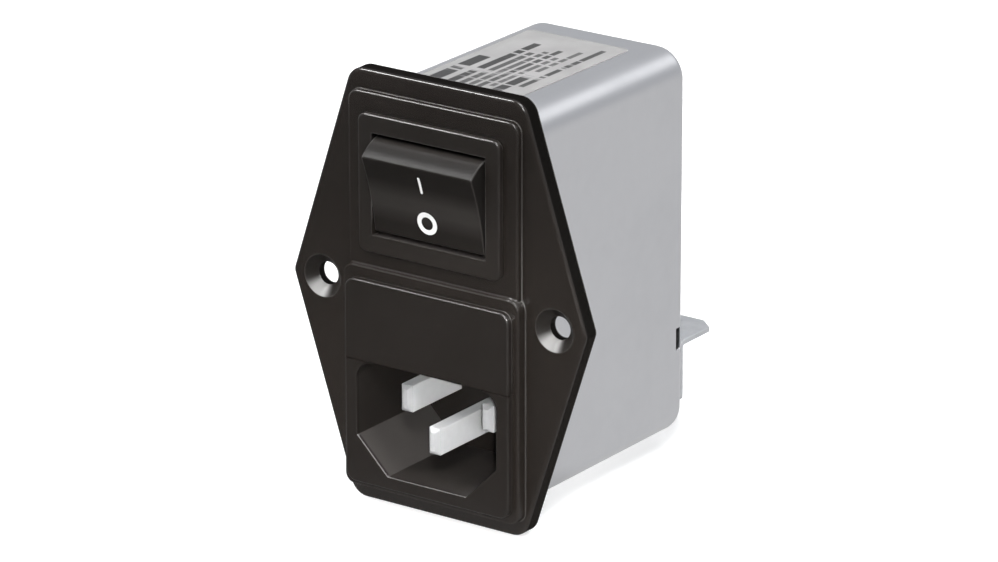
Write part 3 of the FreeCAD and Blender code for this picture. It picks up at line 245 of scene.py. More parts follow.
def mouldedPlastic(name, finish):
    # spark-eroded grain, a slow change of sheen, flow marks, pale scuffs, and pale edges that are partly wear
    # and partly a painted highlight, strongest where they face up; then the features that the finish names,
    # in this order
    look = {**mouldedSkin, **finish}
    material, shader, place = newMaterial(name, {
        "IOR": 1.5, "Specular IOR Level": look["specular"],
        "Coat Roughness": look["coatRough"], "Coat IOR": 1.68,
    })
    x, y, z = axes(place)
    right, back, up = axes(normalOf(place))
    edges = edgeOf(place, look["edgeReach"])
    fineGrain = place.noise(look["grain"], detail=3.0, roughness=0.6)
    flow = place.noise(look["flowSize"], detail=3.0, roughness=0.55, stretch=look["flowStretch"])
    patch = place.noise(look["patchSize"], detail=1.0).between(0.48, 0.70)
    scuff = place.noise(look["scuffSize"], detail=5.0, roughness=0.7, stretch=look["scuffStretch"])
    scuff = scuff.between(0.60, 0.78) * patch
    # pale edges, partly wear and partly a painted highlight, strongest where they face up
    edge = edges * (0.15 + up.between(-0.10, 0.40) * 0.85)
    gloss = (0.9 + flow * 0.2) * look["coat"]
    upward = up.between(0.10, 0.40)

    if "seam" in look:  # along this height edges get no pale rub and highlight, and no bright coat
        clear = (z - look["seam"] * mm).absolute().betweenMm(0.3, 0.7)
        edge = edge * clear
        gloss = gloss * (0.2 + clear * 0.8)
    if "paleEdgesAbove" in look:  # edges lower down get no pale rub and highlight, and no bright coat
        low = 1.0 - z.betweenMm(look["paleEdgesAbove"] - 4.0, look["paleEdgesAbove"])
        edge = edge * (1.0 - low)
        gloss = gloss * (1.0 - upward * low * 0.92)
    if "quietEdge" in look:  # a box within which edges get less pale rub and highlight and shine less
        left, end = look["quietEdge"]["x"]
        bottom, top = look["quietEdge"]["z"]
        across = x.betweenMm(left - 0.8, left) - x.betweenMm(end, end + 0.8)
        along = z.betweenMm(bottom - 0.5, bottom) - z.betweenMm(top, top + 0.5)
        quiet = across * along * look["quietEdge"]["share"]
        edge = edge * (1.0 - quiet)
        gloss = gloss * (1.0 - upward * quiet)
    if "socketStart" in look:  # no edge behind this depth is painted pale; of the mouth only the lower lip
        inside = y.betweenMm(look["socketStart"], look["socketStart"] + 0.4)
        lip = upward * (1.0 - (-right).between(0.10, 0.35))
        edge = edge * (1.0 - inside) * (0.05 + lip * 0.95)
        gloss = gloss * (1.0 - inside * 0.55) * (1.0 - edges * (1.0 - lip) * 0.85)

    tone = (flow * look["flowTone"] + scuff * look["scuffTone"]).atMost(1.0)
    tone = tone.blend(look["colour"], look["paleTone"])
    # the pale edge colour: partly wear, partly painted highlight
    skin = (edge * (0.35 + flow * 0.5) * look["rubAndHighlight"]).atMost(1.0).blend(tone, plasticShades["rubAndHighlight"])
    dullness = look["rough"] + (flow - 0.5) * look["flowRough"] + (fineGrain - 0.5) * look["grainRough"]
    dullness = dullness - scuff * look["scuffRough"]

    if "paleEdgesAbove" in look:  # painted light on the opening's floor, which lies in shade
        skin = (up.between(0.80, 0.95) * low * 0.55).blend(skin, plasticShades["paintedLitWall"])
    if "paintedLightBand" in look:  # painted light between these heights, painted shade above and below
        low, high = look["paintedLightBand"]
        lightBand = z.betweenMm(low - 1.5, low + 1.0) - z.betweenMm(high - 1.0, high + 1.5)
        skin = (lightBand * (0.3 + flow * 0.4)).blend(skin, look["paleTone"])
        # painted shade on the forward face outside the band
        faceShade = (-back).between(0.80, 0.90) * (1.0 - lightBand) * 0.6
        skin = faceShade.blend(skin, plasticShades["faceShade"])
        gloss = gloss * (1.0 - faceShade)
    if "paintedEndShade" in look:  # painted shade: the share by which the front of the round end is darker
        turned = up.between(0.20, 0.40) * (-back).between(0.30, 0.60) * look["paintedEndShade"]
        skin = turned.blend(skin, plasticShades["side"])
        gloss = gloss * (1.0 - turned)
    if "sideStart" in look:  # to the back face from this depth: dull, with painted shade, but for the seats
        column = x.absolute() - screwHoles["column"] * mm
        fromHole = (column * column + z * z).squareRoot()
        outside = fromHole.betweenMm(screwHoles["radius"], screwHoles["radius"] + 0.3)
        behind = y.betweenMm(look["sideStart"], look["sideStart"] + 0.3) - y.betweenMm(-0.25, -0.10)
        side = behind * outside.atLeast(y.betweenMm(screwHoles["seatEnd"], screwHoles["seatEnd"] + 0.05))
        skin = side.blend(skin, flow.blend(plasticShades["side"], plasticShades["sideShadeLight"]))
        # painted light: downward faces lighter, as if lit by the floor
        skin = (side * (-up).between(0.05, 0.30) * 0.85).blend(skin, plasticShades["underside"])
        gloss = gloss * (1.0 - side)
        dullness = dullness + side * 0.40
    if "cheekShade" in look:  # the share by which the walls that face sideways are darker
        cheek = right.absolute().between(0.80, 0.95) * look["cheekShade"]
        skin = cheek.blend(skin, plasticShades["side"])
        gloss = gloss * (1.0 - cheek)
    if "highlightTowards" in look:  # painted highlight on the seat, centred this many degrees round its axis
        turn = math.radians(look["highlightTowards"])
        column = x - x.sign() * (screwHoles["column"] * mm)
        lean = (column * math.cos(turn) + z * math.sin(turn)) / (column * column + z * z).squareRoot()
        seatHighlight = lean.between(0.62, 1.0)
        seatHighlight = seatHighlight * seatHighlight
        skin = (seatHighlight * (0.70 + flow * 0.3)).blend(skin, plasticShades["seatHighlight"])
        gloss = gloss * (0.08 + seatHighlight * 0.30)
    if "socketStart" in look:  # painted light on its sloping corners, and a little on its floor and left wall
        sloping = right.absolute().atMost(up).between(0.30, 0.50)
        litSlopes = (sloping * inside * (0.8 + flow * 0.4)).atMost(1.0)
        skin = litSlopes.blend(skin, plasticShades["paintedLitWall"])
        floorAndLeft = up.between(0.85, 0.95) * 0.30 + right.between(0.85, 0.95) * 0.12
        skin = (floorAndLeft * inside).blend(skin, plasticShades["paintedLitWall"])

    join(skin, shader, "Base Color")
    join(gloss, shader, "Coat Weight")
    join(dullness, shader, "Roughness")
    height = fineGrain * look["grainHeight"] + scuff * look["scuffHeight"]
    join(bumpFrom(height, look["depth"]), shader, "Normal")
    return material


plastics = {name: mouldedPlastic(name, finish) for name, finish in plasticFinishes.items()}
print("plastics:", len(plastics))


sheetFinish = {  # sizes in mm
    "colour": (0.735, 0.74, 0.76), "shade": (0.65, 0.655, 0.675), "rough": 0.36,
    "drawnLine": 0.05, "mottle": 2.4, "smudge": 11.0, "scratch": 0.09, "depth": 0.0014,
}


def tinnedSheet(name, colour, shade, rough, drawnLine, mottle, smudge, scratch, depth):
    # tin-plated sheet: lines drawn along the depth, a fine mottle, handling smudges and hair scratches
    material, shader, place = newMaterial(name, {"Metallic": 1.0})
    lines = place.noise(drawnLine, detail=2.0, stretch=(1.0, 60.0, 1.0))
    cloud = place.noise(mottle, detail=4.0, roughness=0.6)
    marks = place.noise(smudge, detail=3.0, roughness=0.6).between(0.45, 0.75)
    hairs = place.noise(scratch, detail=1.0, stretch=(1.0, 30.0, 5.0)).between(0.70, 0.80)
    fade = (cloud * 0.35 + marks * 0.25).atMost(1.0)
    join(fade.blend(colour, shade), shader, "Base Color")
    join(rough + (cloud - 0.5) * 0.06 + marks * 0.05 + hairs * 0.03, shader, "Roughness")
    join(bumpFrom(lines * 0.5 + cloud * 0.2 - hairs * 0.2, depth), shader, "Normal")
    return material


barFinishes = {
    "pinNickel": {
        "colour": (0.79, 0.79, 0.795), "shade": (0.74, 0.74, 0.74), "rough": 0.42, "metal": 0.08,
        # painted shade on the blades' front ends
        "paintedEndShade": (0.40, 0.40, 0.405),
    },
    "tabTin": {"colour": (0.60, 0.61, 0.63), "shade": (0.50, 0.51, 0.53), "rough": 0.36, "metal": 0.60},
    "springBronze": {"colour": (0.66, 0.47, 0.24), "shade": (0.46, 0.30, 0.13), "rough": 0.34, "metal": 0.85},
    "springSteel": {"colour": (0.55, 0.55, 0.56), "shade": (0.40, 0.40, 0.41), "rough": 0.30, "metal": 0.85},
    "capNickel": {
        "colour": (0.70, 0.68, 0.64), "shade": (0.56, 0.54, 0.50), "rough": 0.24, "metal": 0.85,
        "depth": 0.0008,
    },
    "fuseTin": {"colour": (0.62, 0.61, 0.60), "shade": (0.48, 0.47, 0.46), "rough": 0.32, "metal": 0.80},
    "coilCopper": {"colour": (0.55, 0.20, 0.075), "shade": (0.36, 0.11, 0.035), "rough": 0.30, "metal": 0.75},
}


def stampedMetal(name, colour, shade, rough, metal, paintedEndShade=None, depth=0.003):
    # stamped strip or blade: fine die lines, tumbling marks as deep as depth in mm, and a light tarnish;
    # the end colour, if given, is painted shade on the faces that look forward: a blade's front end
    material, shader, place = newMaterial(name, {"Metallic": metal})
    tarnish = place.noise(1.8, detail=4.0, roughness=0.6)
    lines = place.noise(0.04, detail=2.0, stretch=(1.0, 1.0, 28.0))
    dents = place.noise(0.22, detail=2.0, roughness=0.7)
    platingAndShade = tarnish.between(0.35, 0.8).blend(colour, shade)
    if paintedEndShade is not None:
        right, back, up = axes(normalOf(place))
        # painted shade on forward faces, against the lamps' light on the blades' ends
        platingAndShade = (-back).between(0.12, 0.35).blend(platingAndShade, paintedEndShade)
    join(platingAndShade, shader, "Base Color")
    join(rough + (tarnish - 0.5) * 0.2 + (dents - 0.5) * 0.1, shader, "Roughness")
    join(bumpFrom(lines * 0.4 + dents * 0.6, depth), shader, "Normal")
    return material


metals = {name: stampedMetal(name, **finish) for name, finish in barFinishes.items()}
metals["canSheet"] = tinnedSheet("canSheet", **sheetFinish)
print("metals:", len(metals))


# each coat's colour, the colour of its clouds, its roughness, and its peel's size and depth in mm
coatFinishes = {
    "boardLaminate": ((0.045, 0.16, 0.06), (0.03, 0.11, 0.04), 0.35, 0.6, 0.006),
    "ferriteCoat": ((0.035, 0.035, 0.04), (0.022, 0.022, 0.025), 0.40, 0.5, 0.012),
    "capacitorCase": ((0.60, 0.50, 0.08), (0.48, 0.38, 0.05), 0.36, 0.35, 0.006),
    "discCoat": ((0.045, 0.14, 0.42), (0.03, 0.10, 0.30), 0.38, 0.4, 0.012),
    "resistorCoat": ((0.55, 0.44, 0.28), (0.42, 0.33, 0.20), 0.45, 0.3, 0.01),
    "linerSheet": ((0.06, 0.075, 0.07), (0.045, 0.055, 0.05), 0.6, 0.12, 0.01),
}


def coatedBody(name, colour, shade, rough, size, depth):
    # coated or moulded component: soft orange peel and slightly uneven colour
    material, shader, place = newMaterial(name, {})
    peel = place.noise(size, detail=3.0, roughness=0.55)
    cloud = place.noise(size * 6.0, detail=2.0)
    join(cloud.blend(colour, shade), shader, "Base Color")
    join(rough + (peel - 0.5) * 0.16, shader, "Roughness")
    join(bumpFrom(peel, depth), shader, "Normal")
    return material


def clearGlass(name):
    # a drawn tube: clear, with faint ripples along its length
    material, shader, place = newMaterial(name, {"Transmission Weight": 1.0, "IOR": 1.47})
    ripple = place.noise(1.5, detail=2.0, stretch=(1.0, 4.0, 1.0))
    join(ripple.blend((0.94, 0.97, 0.96), (0.90, 0.94, 0.93)), shader, "Base Color")
    join(0.03 + ripple * 0.05, shader, "Roughness")
    join(bumpFrom(ripple, 0.004), shader, "Normal")
    return material


coats = {name: coatedBody(name, *finish) for name, finish in coatFinishes.items()}
coats["fuseGlass"] = clearGlass("fuseGlass")
print("coats:", len(coats))


finishOf = {
    "front_flange": plastics["flangePlastic"], "inlet_housing": plastics["inletPlastic"],
    "fuse_drawer": plastics["drawerPlastic"], "switch_body": plastics["bezelPlastic"],
    "rocker": plastics["rockerPlastic"], "terminal_insulator": plastics["insulatorPlastic"],
    "metal_can": metals["canSheet"], "earth_rivet": metals["tabTin"], "earth_tab": metals["tabTin"],
    "earth_strap": metals["tabTin"], "circuit_board": coats["boardLaminate"],
    "choke_core": coats["ferriteCoat"], "filter_capacitor": coats["capacitorCase"],
    "discharge_resistor": coats["resistorCoat"], "insulating_liner": coats["linerSheet"],
}
finishByEnding = {
    "_pin": metals["pinNickel"], "_load_tab": metals["tabTin"], "_fuse_contact": metals["springBronze"],
    "_link": metals["springBronze"], "_contact_lever": metals["springBronze"], "_terminal": metals["tabTin"],
    "_plunger": metals["tabTin"], "_plunger_spring": metals["springSteel"], "_fuse_glass": coats["fuseGlass"],
    "_cap": metals["capNickel"], "_fuse_wire": metals["fuseTin"], "_choke_winding": metals["coilCopper"],
    "_earth_capacitor": coats["discCoat"],
}


def finishFor(name):
    if name in finishOf:
        return finishOf[name]
    return next(finish for ending, finish in finishByEnding.items() if name.endswith(ending))


def setFinish(piece, material):
    if not piece.data.materials:
        piece.data.materials.append(material)
    for slot in piece.material_slots:
        slot.material = material


for name, node in nodes.items():
    setFinish(node, finishFor(name))
print("finishes set")


# bevel width in mm on what the solids leave sharp, for the pieces whose edges show
edgeRounding = {
    "front_flange": 0.26, "inlet_housing": 0.32, "fuse_drawer": 0.08, "switch_body": 0.26, "rocker": 0.14,
    "metal_can": 0.08, "earth_tab": 0.10, "left_pin": 0.10, "right_pin": 0.10, "earth_pin": 0.10,
    "upper_load_tab": 0.10, "lower_load_tab": 0.10, "terminal_insulator": 0.15, "earth_rivet": 0.12,
}
copyLimits = {
    "merge": 0.0005,  # mm within which triangles' corners are one
    # degrees up to which faces are joined, are shaded as one, and keep their edge without a bevel
    "flat": 0.4, "smooth": 32, "round": 50,
    "segments": 2,
}


def roundedCopy(name, width):
    # the node's triangles merged, flat ones joined into whole faces, then bevelled and shaded by face area
    mesh = nodes[name].data.copy()
    work = bmesh.new()
    work.from_mesh(mesh)
    bmesh.ops.remove_doubles(work, verts=work.verts, dist=copyLimits["merge"] * mm)
    flat = math.radians(copyLimits["flat"])
    bmesh.ops.dissolve_limit(work, angle_limit=flat, verts=work.verts, edges=work.edges)
    for edge in work.edges:
        edge.smooth = edge.calc_face_angle(0.0) < math.radians(copyLimits["smooth"])
    work.to_mesh(mesh)
    work.free()
    mesh.shade_smooth()
    piece = bpy.data.objects.new(name + "_finished", mesh)
    bpy.context.scene.collection.objects.link(piece)
    bevel = piece.modifiers.new("edgeRounding", "BEVEL")
    bevel.width = width * mm
    bevel.segments = copyLimits["segments"]
    bevel.limit_method = "ANGLE"
    bevel.angle_limit = math.radians(copyLimits["round"])
    bevel.use_clamp_overlap = True
    bevel.harden_normals = False
    shading = piece.modifiers.new("faceShading", "WEIGHTED_NORMAL")
    shading.keep_sharp = True
    setFinish(piece, finishFor(name))
    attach(piece, nodes[name]["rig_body"])
    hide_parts(name)


for name, width in edgeRounding.items():
    roundedCopy(name, width)
print("rounded copies:", len(edgeRounding))


def gridSurface(name, points, closed=False):
    # points is rows by columns by 3, in metres; faces join neighbours, round the rows too if closed
    rows, columns = points.shape[:2]
    row = np.arange(rows - 1)[:, None]
    column = np.arange(columns if closed else columns - 1)[None, :]
    following = (column + 1) % columns
    faces = np.stack([
        row * columns + column, row * columns + following,
        (row + 1) * columns + following, (row + 1) * columns + column,
    ], axis=-1).reshape(-1, 4)
    mesh = bpy.data.meshes.new(name)
    mesh.from_pydata(points.reshape(-1, 3).tolist(), [], faces.tolist())
    mesh.shade_smooth()
    piece = bpy.data.objects.new(name, mesh)
    bpy.context.scene.collection.objects.link(piece)
    return piece


# the countersinks' smooth seats, in mm: each lies on its cone and shows an unbroken sheen
screwSeat = {
    "columns": {"screw_seat_left": -20.0, "screw_seat_right": 20.0},
    "front": -2.7, "mouthRadius": 3.13, "holeRadius": 1.72, "depth": 1.43, "lift": 0.012,
    "rings": 9, "steps": 144,
}


def screwSeatSurface(name, column):
    # a cone frustum: radius falls evenly with depth, turned round the screw's axis, lifted off the solid
    lift = screwSeat["lift"]
    share = np.linspace(0.0, 1.0, screwSeat["rings"])[:, None]
    angle = np.linspace(0.0, -2 * math.pi, screwSeat["steps"], endpoint=False)[None, :]
    radius = screwSeat["mouthRadius"] + (screwSeat["holeRadius"] - screwSeat["mouthRadius"]) * share
    x = column + (radius - lift) * np.cos(angle)
    y = screwSeat["front"] - lift * 0.5 + screwSeat["depth"] * share + np.zeros_like(angle)
    z = (radius - lift) * np.sin(angle)
    return gridSurface(name, np.stack([x, y, z], axis=-1) * mm, closed=True)


for name, column in screwSeat["columns"].items():
    seat = screwSeatSurface(name, column)
    setFinish(seat, plastics["seatPlastic"])
    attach(seat, "module")
print("screw seats:", len(screwSeat["columns"]))


# the rocker's concave face, as in the solids, and the two marks printed on it
rockerShape = {
    "pivotDepth": -2.1, "pivotHeight": 16.15, "tilt": 15.0,  # mm, mm, degrees
    "radius": 7.2, "face": 4.0, "faceRadius": 44.0,
}
switchMarks = {
    "onPlace": (0.0, 3.2), "onSize": (0.42, 2.8),  # mm across and along the face
    "offPlace": (0.0, -3.0), "offRadius": 1.32, "offStroke": 0.72, "offStretch": 1.04,
    "onSteps": (41, 9), "offSteps": (11, 96), "tip": 0.001,
    "inkHeight": 0.03, "inkBase": 0.004,
    "ink": (0.70, 0.70, 0.69), "inkWorn": (0.50, 0.49, 0.48),
}


def onRockerFace(across, along, lift):
    # the face is an arc of faceRadius whose ends are the ridges, at the distance face from the pivot;
    # a point of it, lifted along its normal, is then turned by the tilt and moved to the pivot
    halfChord = math.sqrt(rockerShape["radius"] ** 2 - rockerShape["face"] ** 2)
    big = rockerShape["faceRadius"]
    centreDepth = -rockerShape["face"] - math.sqrt(big ** 2 - halfChord ** 2)
    angle = along / big
    reach = big - lift
    depth = centreDepth + reach * np.cos(angle)
    height = reach * np.sin(angle)
    tilt = math.radians(rockerShape["tilt"])
    y = rockerShape["pivotDepth"] + depth * math.cos(tilt) - height * math.sin(tilt)
    z = rockerShape["pivotHeight"] + depth * math.sin(tilt) + height * math.cos(tilt)
    return np.stack([across, y, z], axis=-1) * mm


def inkLift(part):
    # part runs from -1 to 1 across the stroke: flat in the middle, falling with its sixth power to the base
    return switchMarks["inkHeight"] * (1 - part ** 6) + switchMarks["inkBase"]


def onMark():
    # a straight bar whose half width follows a circle at its half-round ends, and never quite ends in a point
    width, length = switchMarks["onSize"]
    x0, s0 = switchMarks["onPlace"]
    half = width / 2
    alongSteps, acrossSteps = switchMarks["onSteps"]
    run = np.linspace(-length / 2, length / 2, alongSteps)
    past = np.clip(np.abs(run) - (length / 2 - half), 0.0, half)
    reach = np.sqrt(np.clip(half ** 2 - past ** 2, 0.0, None)) + switchMarks["tip"]
    part = np.linspace(-1.0, 1.0, acrossSteps)
    across = x0 + reach[:, None] * part[None, :]
    along = s0 + run[:, None] + np.zeros_like(across)
    lift = inkLift(part)[None, :] + np.zeros_like(across)
    return gridSurface("rocker_mark_on", onRockerFace(across, along, lift))


def offMark():
    # a ring: radius and angle are the two parameters, and it is stretched a little along the face
    x0, s0 = switchMarks["offPlace"]
    strokeSteps, roundSteps = switchMarks["offSteps"]
    part = np.linspace(-1.0, 1.0, strokeSteps)
    radius = switchMarks["offRadius"] + part * switchMarks["offStroke"] / 2
    angle = np.linspace(0.0, 2 * math.pi, roundSteps, endpoint=False)
    across = x0 + radius[:, None] * np.cos(angle)[None, :]
    along = s0 + radius[:, None] * np.sin(angle)[None, :] * switchMarks["offStretch"]
    lift = inkLift(part)[:, None] + np.zeros_like(across)
    return gridSurface("rocker_mark_off", onRockerFace(across, along, lift), closed=True)


def printedInk():
    # pad-printed ink, worn thin in fine specks
    material, shader, place = newMaterial("whiteInk", {})
    wear = place.noise(0.12, detail=3.0).between(0.55, 0.9)
    join(wear.blend(switchMarks["ink"], switchMarks["inkWorn"]), shader, "Base Color")
    join(0.42 + wear * 0.2, shader, "Roughness")
    join(bumpFrom(wear, 0.006), shader, "Normal")
    return material


whiteInk = printedInk()
for mark in (onMark(), offMark()):
    setFinish(mark, whiteInk)
    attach(mark, "rocker")
print("switch marks made")


# the label on top of the can, with rows of plain bars; in mm
topLabel = {
    "x": (-9.6, 7.9), "y": (3.6, 33.4), "height": 29.2, "thickness": 0.09, "corner": 1.0, "steps": 128,
    # rings from the middle out and over the edge: share of the way out, share of the thickness
    "rings": ((0.0, 1.0), (0.5, 1.0), (0.9, 1.0), (0.996, 1.0), (1.0, 0.7), (1.0, 0.0)),
    "colour": (0.325, 0.322, 0.32), "aged": (0.275, 0.271, 0.268), "ink": (0.030, 0.030, 0.030),
    # the rows run along the depth: place across, width, start, end, how dark
    "rows": (
        (-7.2, 2.0, 6.5, 19.0, 0.97), (-4.4, 1.3, 6.0, 28.0, 0.97), (-2.6, 1.0, 6.5, 24.0, 0.85),
        (-1.1, 0.9, 7.0, 25.5, 0.80), (0.3, 0.9, 6.0, 27.0, 0.90), (1.7, 0.8, 8.0, 24.0, 0.75),
        (3.4, 1.6, 6.5, 15.0, 0.97), (3.1, 0.8, 17.0, 28.0, 0.75), (5.3, 0.9, 10.0, 30.5, 0.92),
    ),
    "gapSize": 0.9, "gapLimits": (0.34, 0.42),
    "merge": 0.001, "smooth": 40,  # mm, degrees
}


def labelMaterial():
    # aged film: each row is a band across and a run along, cut into bars where a noise along the depth is low
    material, shader, place = newMaterial("labelFilm", {"Specular IOR Level": 0.4})
    x, y, z = axes(place)
    fibre = place.noise(0.25, detail=4.0, roughness=0.6)
    age = place.noise(6.0, detail=3.0).between(0.35, 0.75)
    paper = age.blend(topLabel["colour"], topLabel["aged"])
    bars = place.noise(topLabel["gapSize"], detail=1.0, stretch=(20.0, 1.0, 20.0))
    bars = bars.between(*topLabel["gapLimits"])
    printed = None
    for across, width, start, end, dark in topLabel["rows"]:
        inRow = 1.0 - ((x - across * mm).absolute() - width * mm / 2).betweenMm(-0.05, 0.05)
        inRun = (y - start * mm).betweenMm(0.0, 0.1) * (1.0 - (y - end * mm).betweenMm(0.0, 0.1))
        row = inRow * inRun * bars * dark
        printed = row if printed is None else printed.atLeast(row)
    join(printed.blend(paper, topLabel["ink"]), shader, "Base Color")
    join(0.46 + (fibre - 0.5) * 0.16 + printed * 0.06, shader, "Roughness")
    join(bumpFrom(fibre * 0.6 + printed * 0.4, 0.006), shader, "Normal")
    return material


def labelPlate():
    # a flat sheet with round corners: each ring is the outline drawn in towards the middle by its share
    x0, x1 = topLabel["x"]
    y0, y1 = topLabel["y"]
    corner, steps = topLabel["corner"], topLabel["steps"]
    angle = np.linspace(0.0, 2 * math.pi, steps, endpoint=False) + math.pi / steps
    quadrant = (angle // (math.pi / 2)).astype(int)
    outlineX = np.where((quadrant == 0) | (quadrant == 3), x1 - corner, x0 + corner) + corner * np.cos(angle)
    outlineY = np.where(quadrant < 2, y1 - corner, y0 + corner) + corner * np.sin(angle)
    middleX, middleY = (x0 + x1) / 2, (y0 + y1) / 2
    share, rise = np.array(topLabel["rings"]).T[:, :, None]
    px = middleX + (outlineX - middleX)[None, :] * share
    py = middleY + (outlineY - middleY)[None, :] * share
    pz = topLabel["height"] + topLabel["thickness"] * rise + np.zeros_like(px)
    piece = gridSurface("can_top_label", np.stack([px, py, pz], axis=-1) * mm, closed=True)
    work = bmesh.new()
    work.from_mesh(piece.data)
    bmesh.ops.remove_doubles(work, verts=work.verts, dist=topLabel["merge"] * mm)
    bmesh.ops.recalc_face_normals(work, faces=work.faces)
    work.to_mesh(piece.data)
    work.free()
    piece.data.shade_smooth()
    piece.data.set_sharp_from_angle(angle=math.radians(topLabel["smooth"]))
    return piece


label = labelPlate()
setFinish(label, labelMaterial())
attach(label, "module")
print("label made")


# the floor and the world, in metres; for the camera both read as white
white = (1.0, 1.0, 1.0, 1.0)
floorLook = {
    "height": -32.0 * mm, "reach": 6.0, "colour": (0.72, 0.72, 0.72), "lift": 0.45,
    # what metal and gloss see of it: before the part on its right, before it on its left, behind it
    "mirrorRight": (0.05, 0.05, 0.05), "mirrorLeft": (0.42, 0.42, 0.425), "mirrorBack": (0.64, 0.64, 0.645),
    "leftToRight": (-0.35, -0.12), "frontToBack": (-0.02, 0.02),  # where one shade turns into the next
}
worldLook = {
    "colour": (0.96, 0.98, 1.02), "front": 0.16, "back": 0.52,
    "frontToBack": (-0.7, 0.9),  # of the direction looked in
}


def makeFloor():
    # a square grid of two by two points, with a matt material that is lifted to white for the camera
    reach, height = floorLook["reach"], floorLook["height"]
    x, y = np.meshgrid([-reach, reach], [-reach, reach])
    floor = gridSurface("floor", np.stack([x, y, np.full_like(x, height)], axis=-1))
    material = bpy.data.materials.new("paleFloor")
    material.use_nodes = True
    material.node_tree.nodes.clear()
    start = Wire(material.node_tree)
    matt = start.node("ShaderNodeBsdfDiffuse", {}, {"Color": (*floorLook["colour"], 1.0)})
    camera = start.node("ShaderNodeLightPath", output="Is Camera Ray")
    clear = camera.beside("Is Transmission Ray")
    glow = start.node("ShaderNodeEmission", {}, {"Color": white, "Strength": floorLook["lift"]})
    lifted = start.node("ShaderNodeAddShader", {}, {0: matt, 1: glow})
    seen = start.node("ShaderNodeMixShader", {}, {0: camera + clear, 1: matt, 2: lifted})
    x, y, z = axes(start.node("ShaderNodeTexCoord", output="Object"))
    before = x.between(*floorLook["leftToRight"]).blend(floorLook["mirrorLeft"], floorLook["mirrorRight"])
    mirrored = y.between(*floorLook["frontToBack"]).blend(before, floorLook["mirrorBack"])
    mirrorGlow = start.node("ShaderNodeEmission", {}, {"Color": mirrored, "Strength": 1.0})
    mixed = {0: camera.beside("Is Glossy Ray"), 1: seen, 2: mirrorGlow}
    start.node("ShaderNodeOutputMaterial", {}, {"Surface": start.node("ShaderNodeMixShader", {}, mixed)})
    setFinish(floor, material)


def makeWorld():
    # light that grows from the front to the back of the room, and plain white for the camera
    world = bpy.data.worlds.new("studioWorld")
    bpy.context.scene.world = world
    world.use_nodes = True
    world.node_tree.nodes.clear()
    start = Wire(world.node_tree)
    x, y, z = axes(start.node("ShaderNodeTexCoord", output="Generated"))
    colour = (*worldLook["colour"], 1.0)
    front = start.node("ShaderNodeBackground", {}, {"Color": colour, "Strength": worldLook["front"]})
    behind = start.node("ShaderNodeBackground", {}, {"Color": colour, "Strength": worldLook["back"]})
    backward = y.between(*worldLook["frontToBack"])
    light = start.node("ShaderNodeMixShader", {}, {0: backward, 1: front, 2: behind})
    plain = start.node("ShaderNodeBackground", {}, {"Color": white, "Strength": 1.0})
    camera = start.node("ShaderNodeLightPath", output="Is Camera Ray")
    mixed = start.node("ShaderNodeMixShader", {}, {0: camera, 1: light, 2: plain})
    start.node("ShaderNodeOutputWorld", {}, {"Surface": mixed})


def aim(thing, place, roll=0.0, target=(0.0, 0.0, 0.0)):
    # stands a lamp or camera at a place, looking at the target; roll in degrees
    thing.location = place
    back = np.array(place, float) - np.array(target)
    back /= np.linalg.norm(back)
    right = np.cross([0.0, 0.0, 1.0], back)
    right /= np.linalg.norm(right)
    up = np.cross(back, right)
    turn = math.radians(roll)
    newRight = math.cos(turn) * right + math.sin(turn) * up
    newUp = -math.sin(turn) * right + math.cos(turn) * up
    thing.rotation_euler = Matrix([newRight, newUp, back]).transposed().to_euler()


# where each lamp stands as seen from the part, its distance and size in metres and its power in watts
lamps = {
    "keyLamp": {"towards": (0.424, -0.607, 0.643), "distance": 1.3, "size": (0.22, 0.22), "power": 9.0},
    "topLamp": {"towards": (0.25, -0.10, 0.96), "distance": 1.2, "size": (0.7, 0.5), "power": 11.0},
    "stepLamp": {"towards": (-0.554, -0.335, 0.762), "distance": 1.3, "size": (0.26, 0.26), "power": 9.5},
    "edgeLamp": {"towards": (0.335, 0.762, 0.554), "distance": 1.4, "size": (0.60, 0.60), "power": 1.0},
}
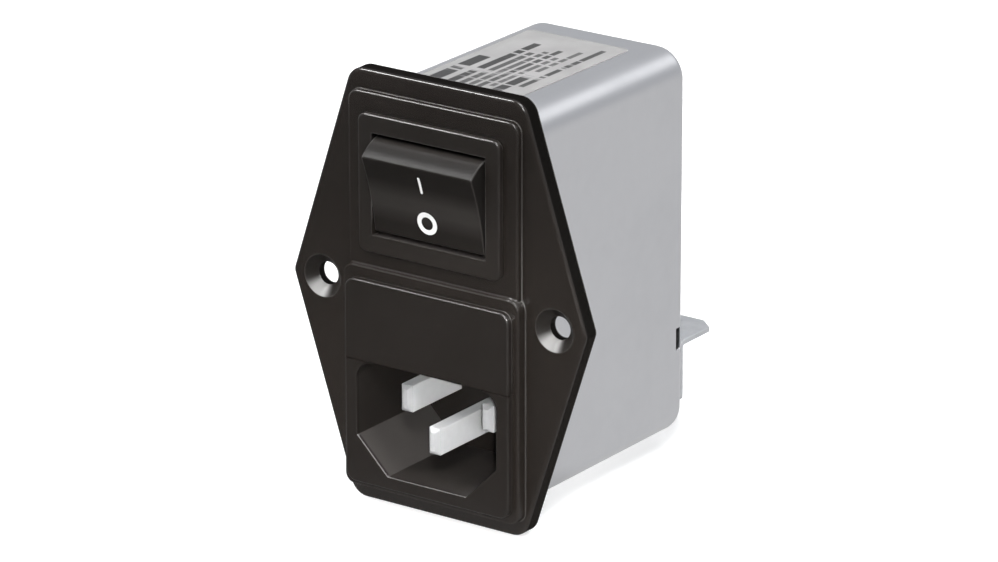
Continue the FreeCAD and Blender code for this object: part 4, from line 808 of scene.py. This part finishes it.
# a narrow lamp on the inlet: its target in mm, its cone in degrees and the share of it that fades
socketLamp = {
    "towards": (0.56, -0.75, 0.35), "distance": 1.2, "size": 0.03, "power": 450.0,
    "aimAt": (0.0, 0.0, -20.0), "cone": 1.2, "fade": 0.7,
}


def placeLamp(name, light, lamp, target):
    light.energy = lamp["power"]
    holder = bpy.data.objects.new(name, light)
    bpy.context.scene.collection.objects.link(holder)
    direction = np.array(lamp["towards"])
    aim(holder, target + direction / np.linalg.norm(direction) * lamp["distance"], target=target)


def makeLamps():
    for name, lamp in lamps.items():
        light = bpy.data.lights.new(name, "AREA")
        light.shape = "RECTANGLE"
        light.size, light.size_y = lamp["size"]
        placeLamp(name, light, lamp, np.zeros(3))
    light = bpy.data.lights.new("socketLamp", "SPOT")
    light.spot_size = math.radians(socketLamp["cone"])
    light.spot_blend = socketLamp["fade"]
    light.shadow_soft_size = socketLamp["size"]
    placeLamp("socketLamp", light, socketLamp, np.array(socketLamp["aimAt"]) * mm)


cameraView = {
    "azimuth": 36.02, "elevation": 19.55, "roll": -0.275,  # degrees
    "distance": 0.812, "nearest": 0.01, "farthest": 50.0,  # metres
    "lens": 209.3, "sensor": 36.0,  # mm
    "shift": (0.0508, 0.0167),
}


def makeCamera():
    lens = bpy.data.cameras.new("studioCamera")
    lens.sensor_width = cameraView["sensor"]
    lens.lens = cameraView["lens"]
    lens.shift_x, lens.shift_y = cameraView["shift"]
    lens.clip_start, lens.clip_end = cameraView["nearest"], cameraView["farthest"]
    holder = bpy.data.objects.new("studioCamera", lens)
    bpy.context.scene.collection.objects.link(holder)
    turn, rise = math.radians(cameraView["azimuth"]), math.radians(cameraView["elevation"])
    towards = np.array([math.sin(turn) * math.cos(rise), -math.cos(turn) * math.cos(rise), math.sin(rise)])
    aim(holder, towards * cameraView["distance"], cameraView["roll"])
    bpy.context.scene.camera = holder


makeFloor()
makeWorld()
makeLamps()
makeCamera()
bpy.context.scene.view_settings.view_transform = "Standard"
print("studio ready")
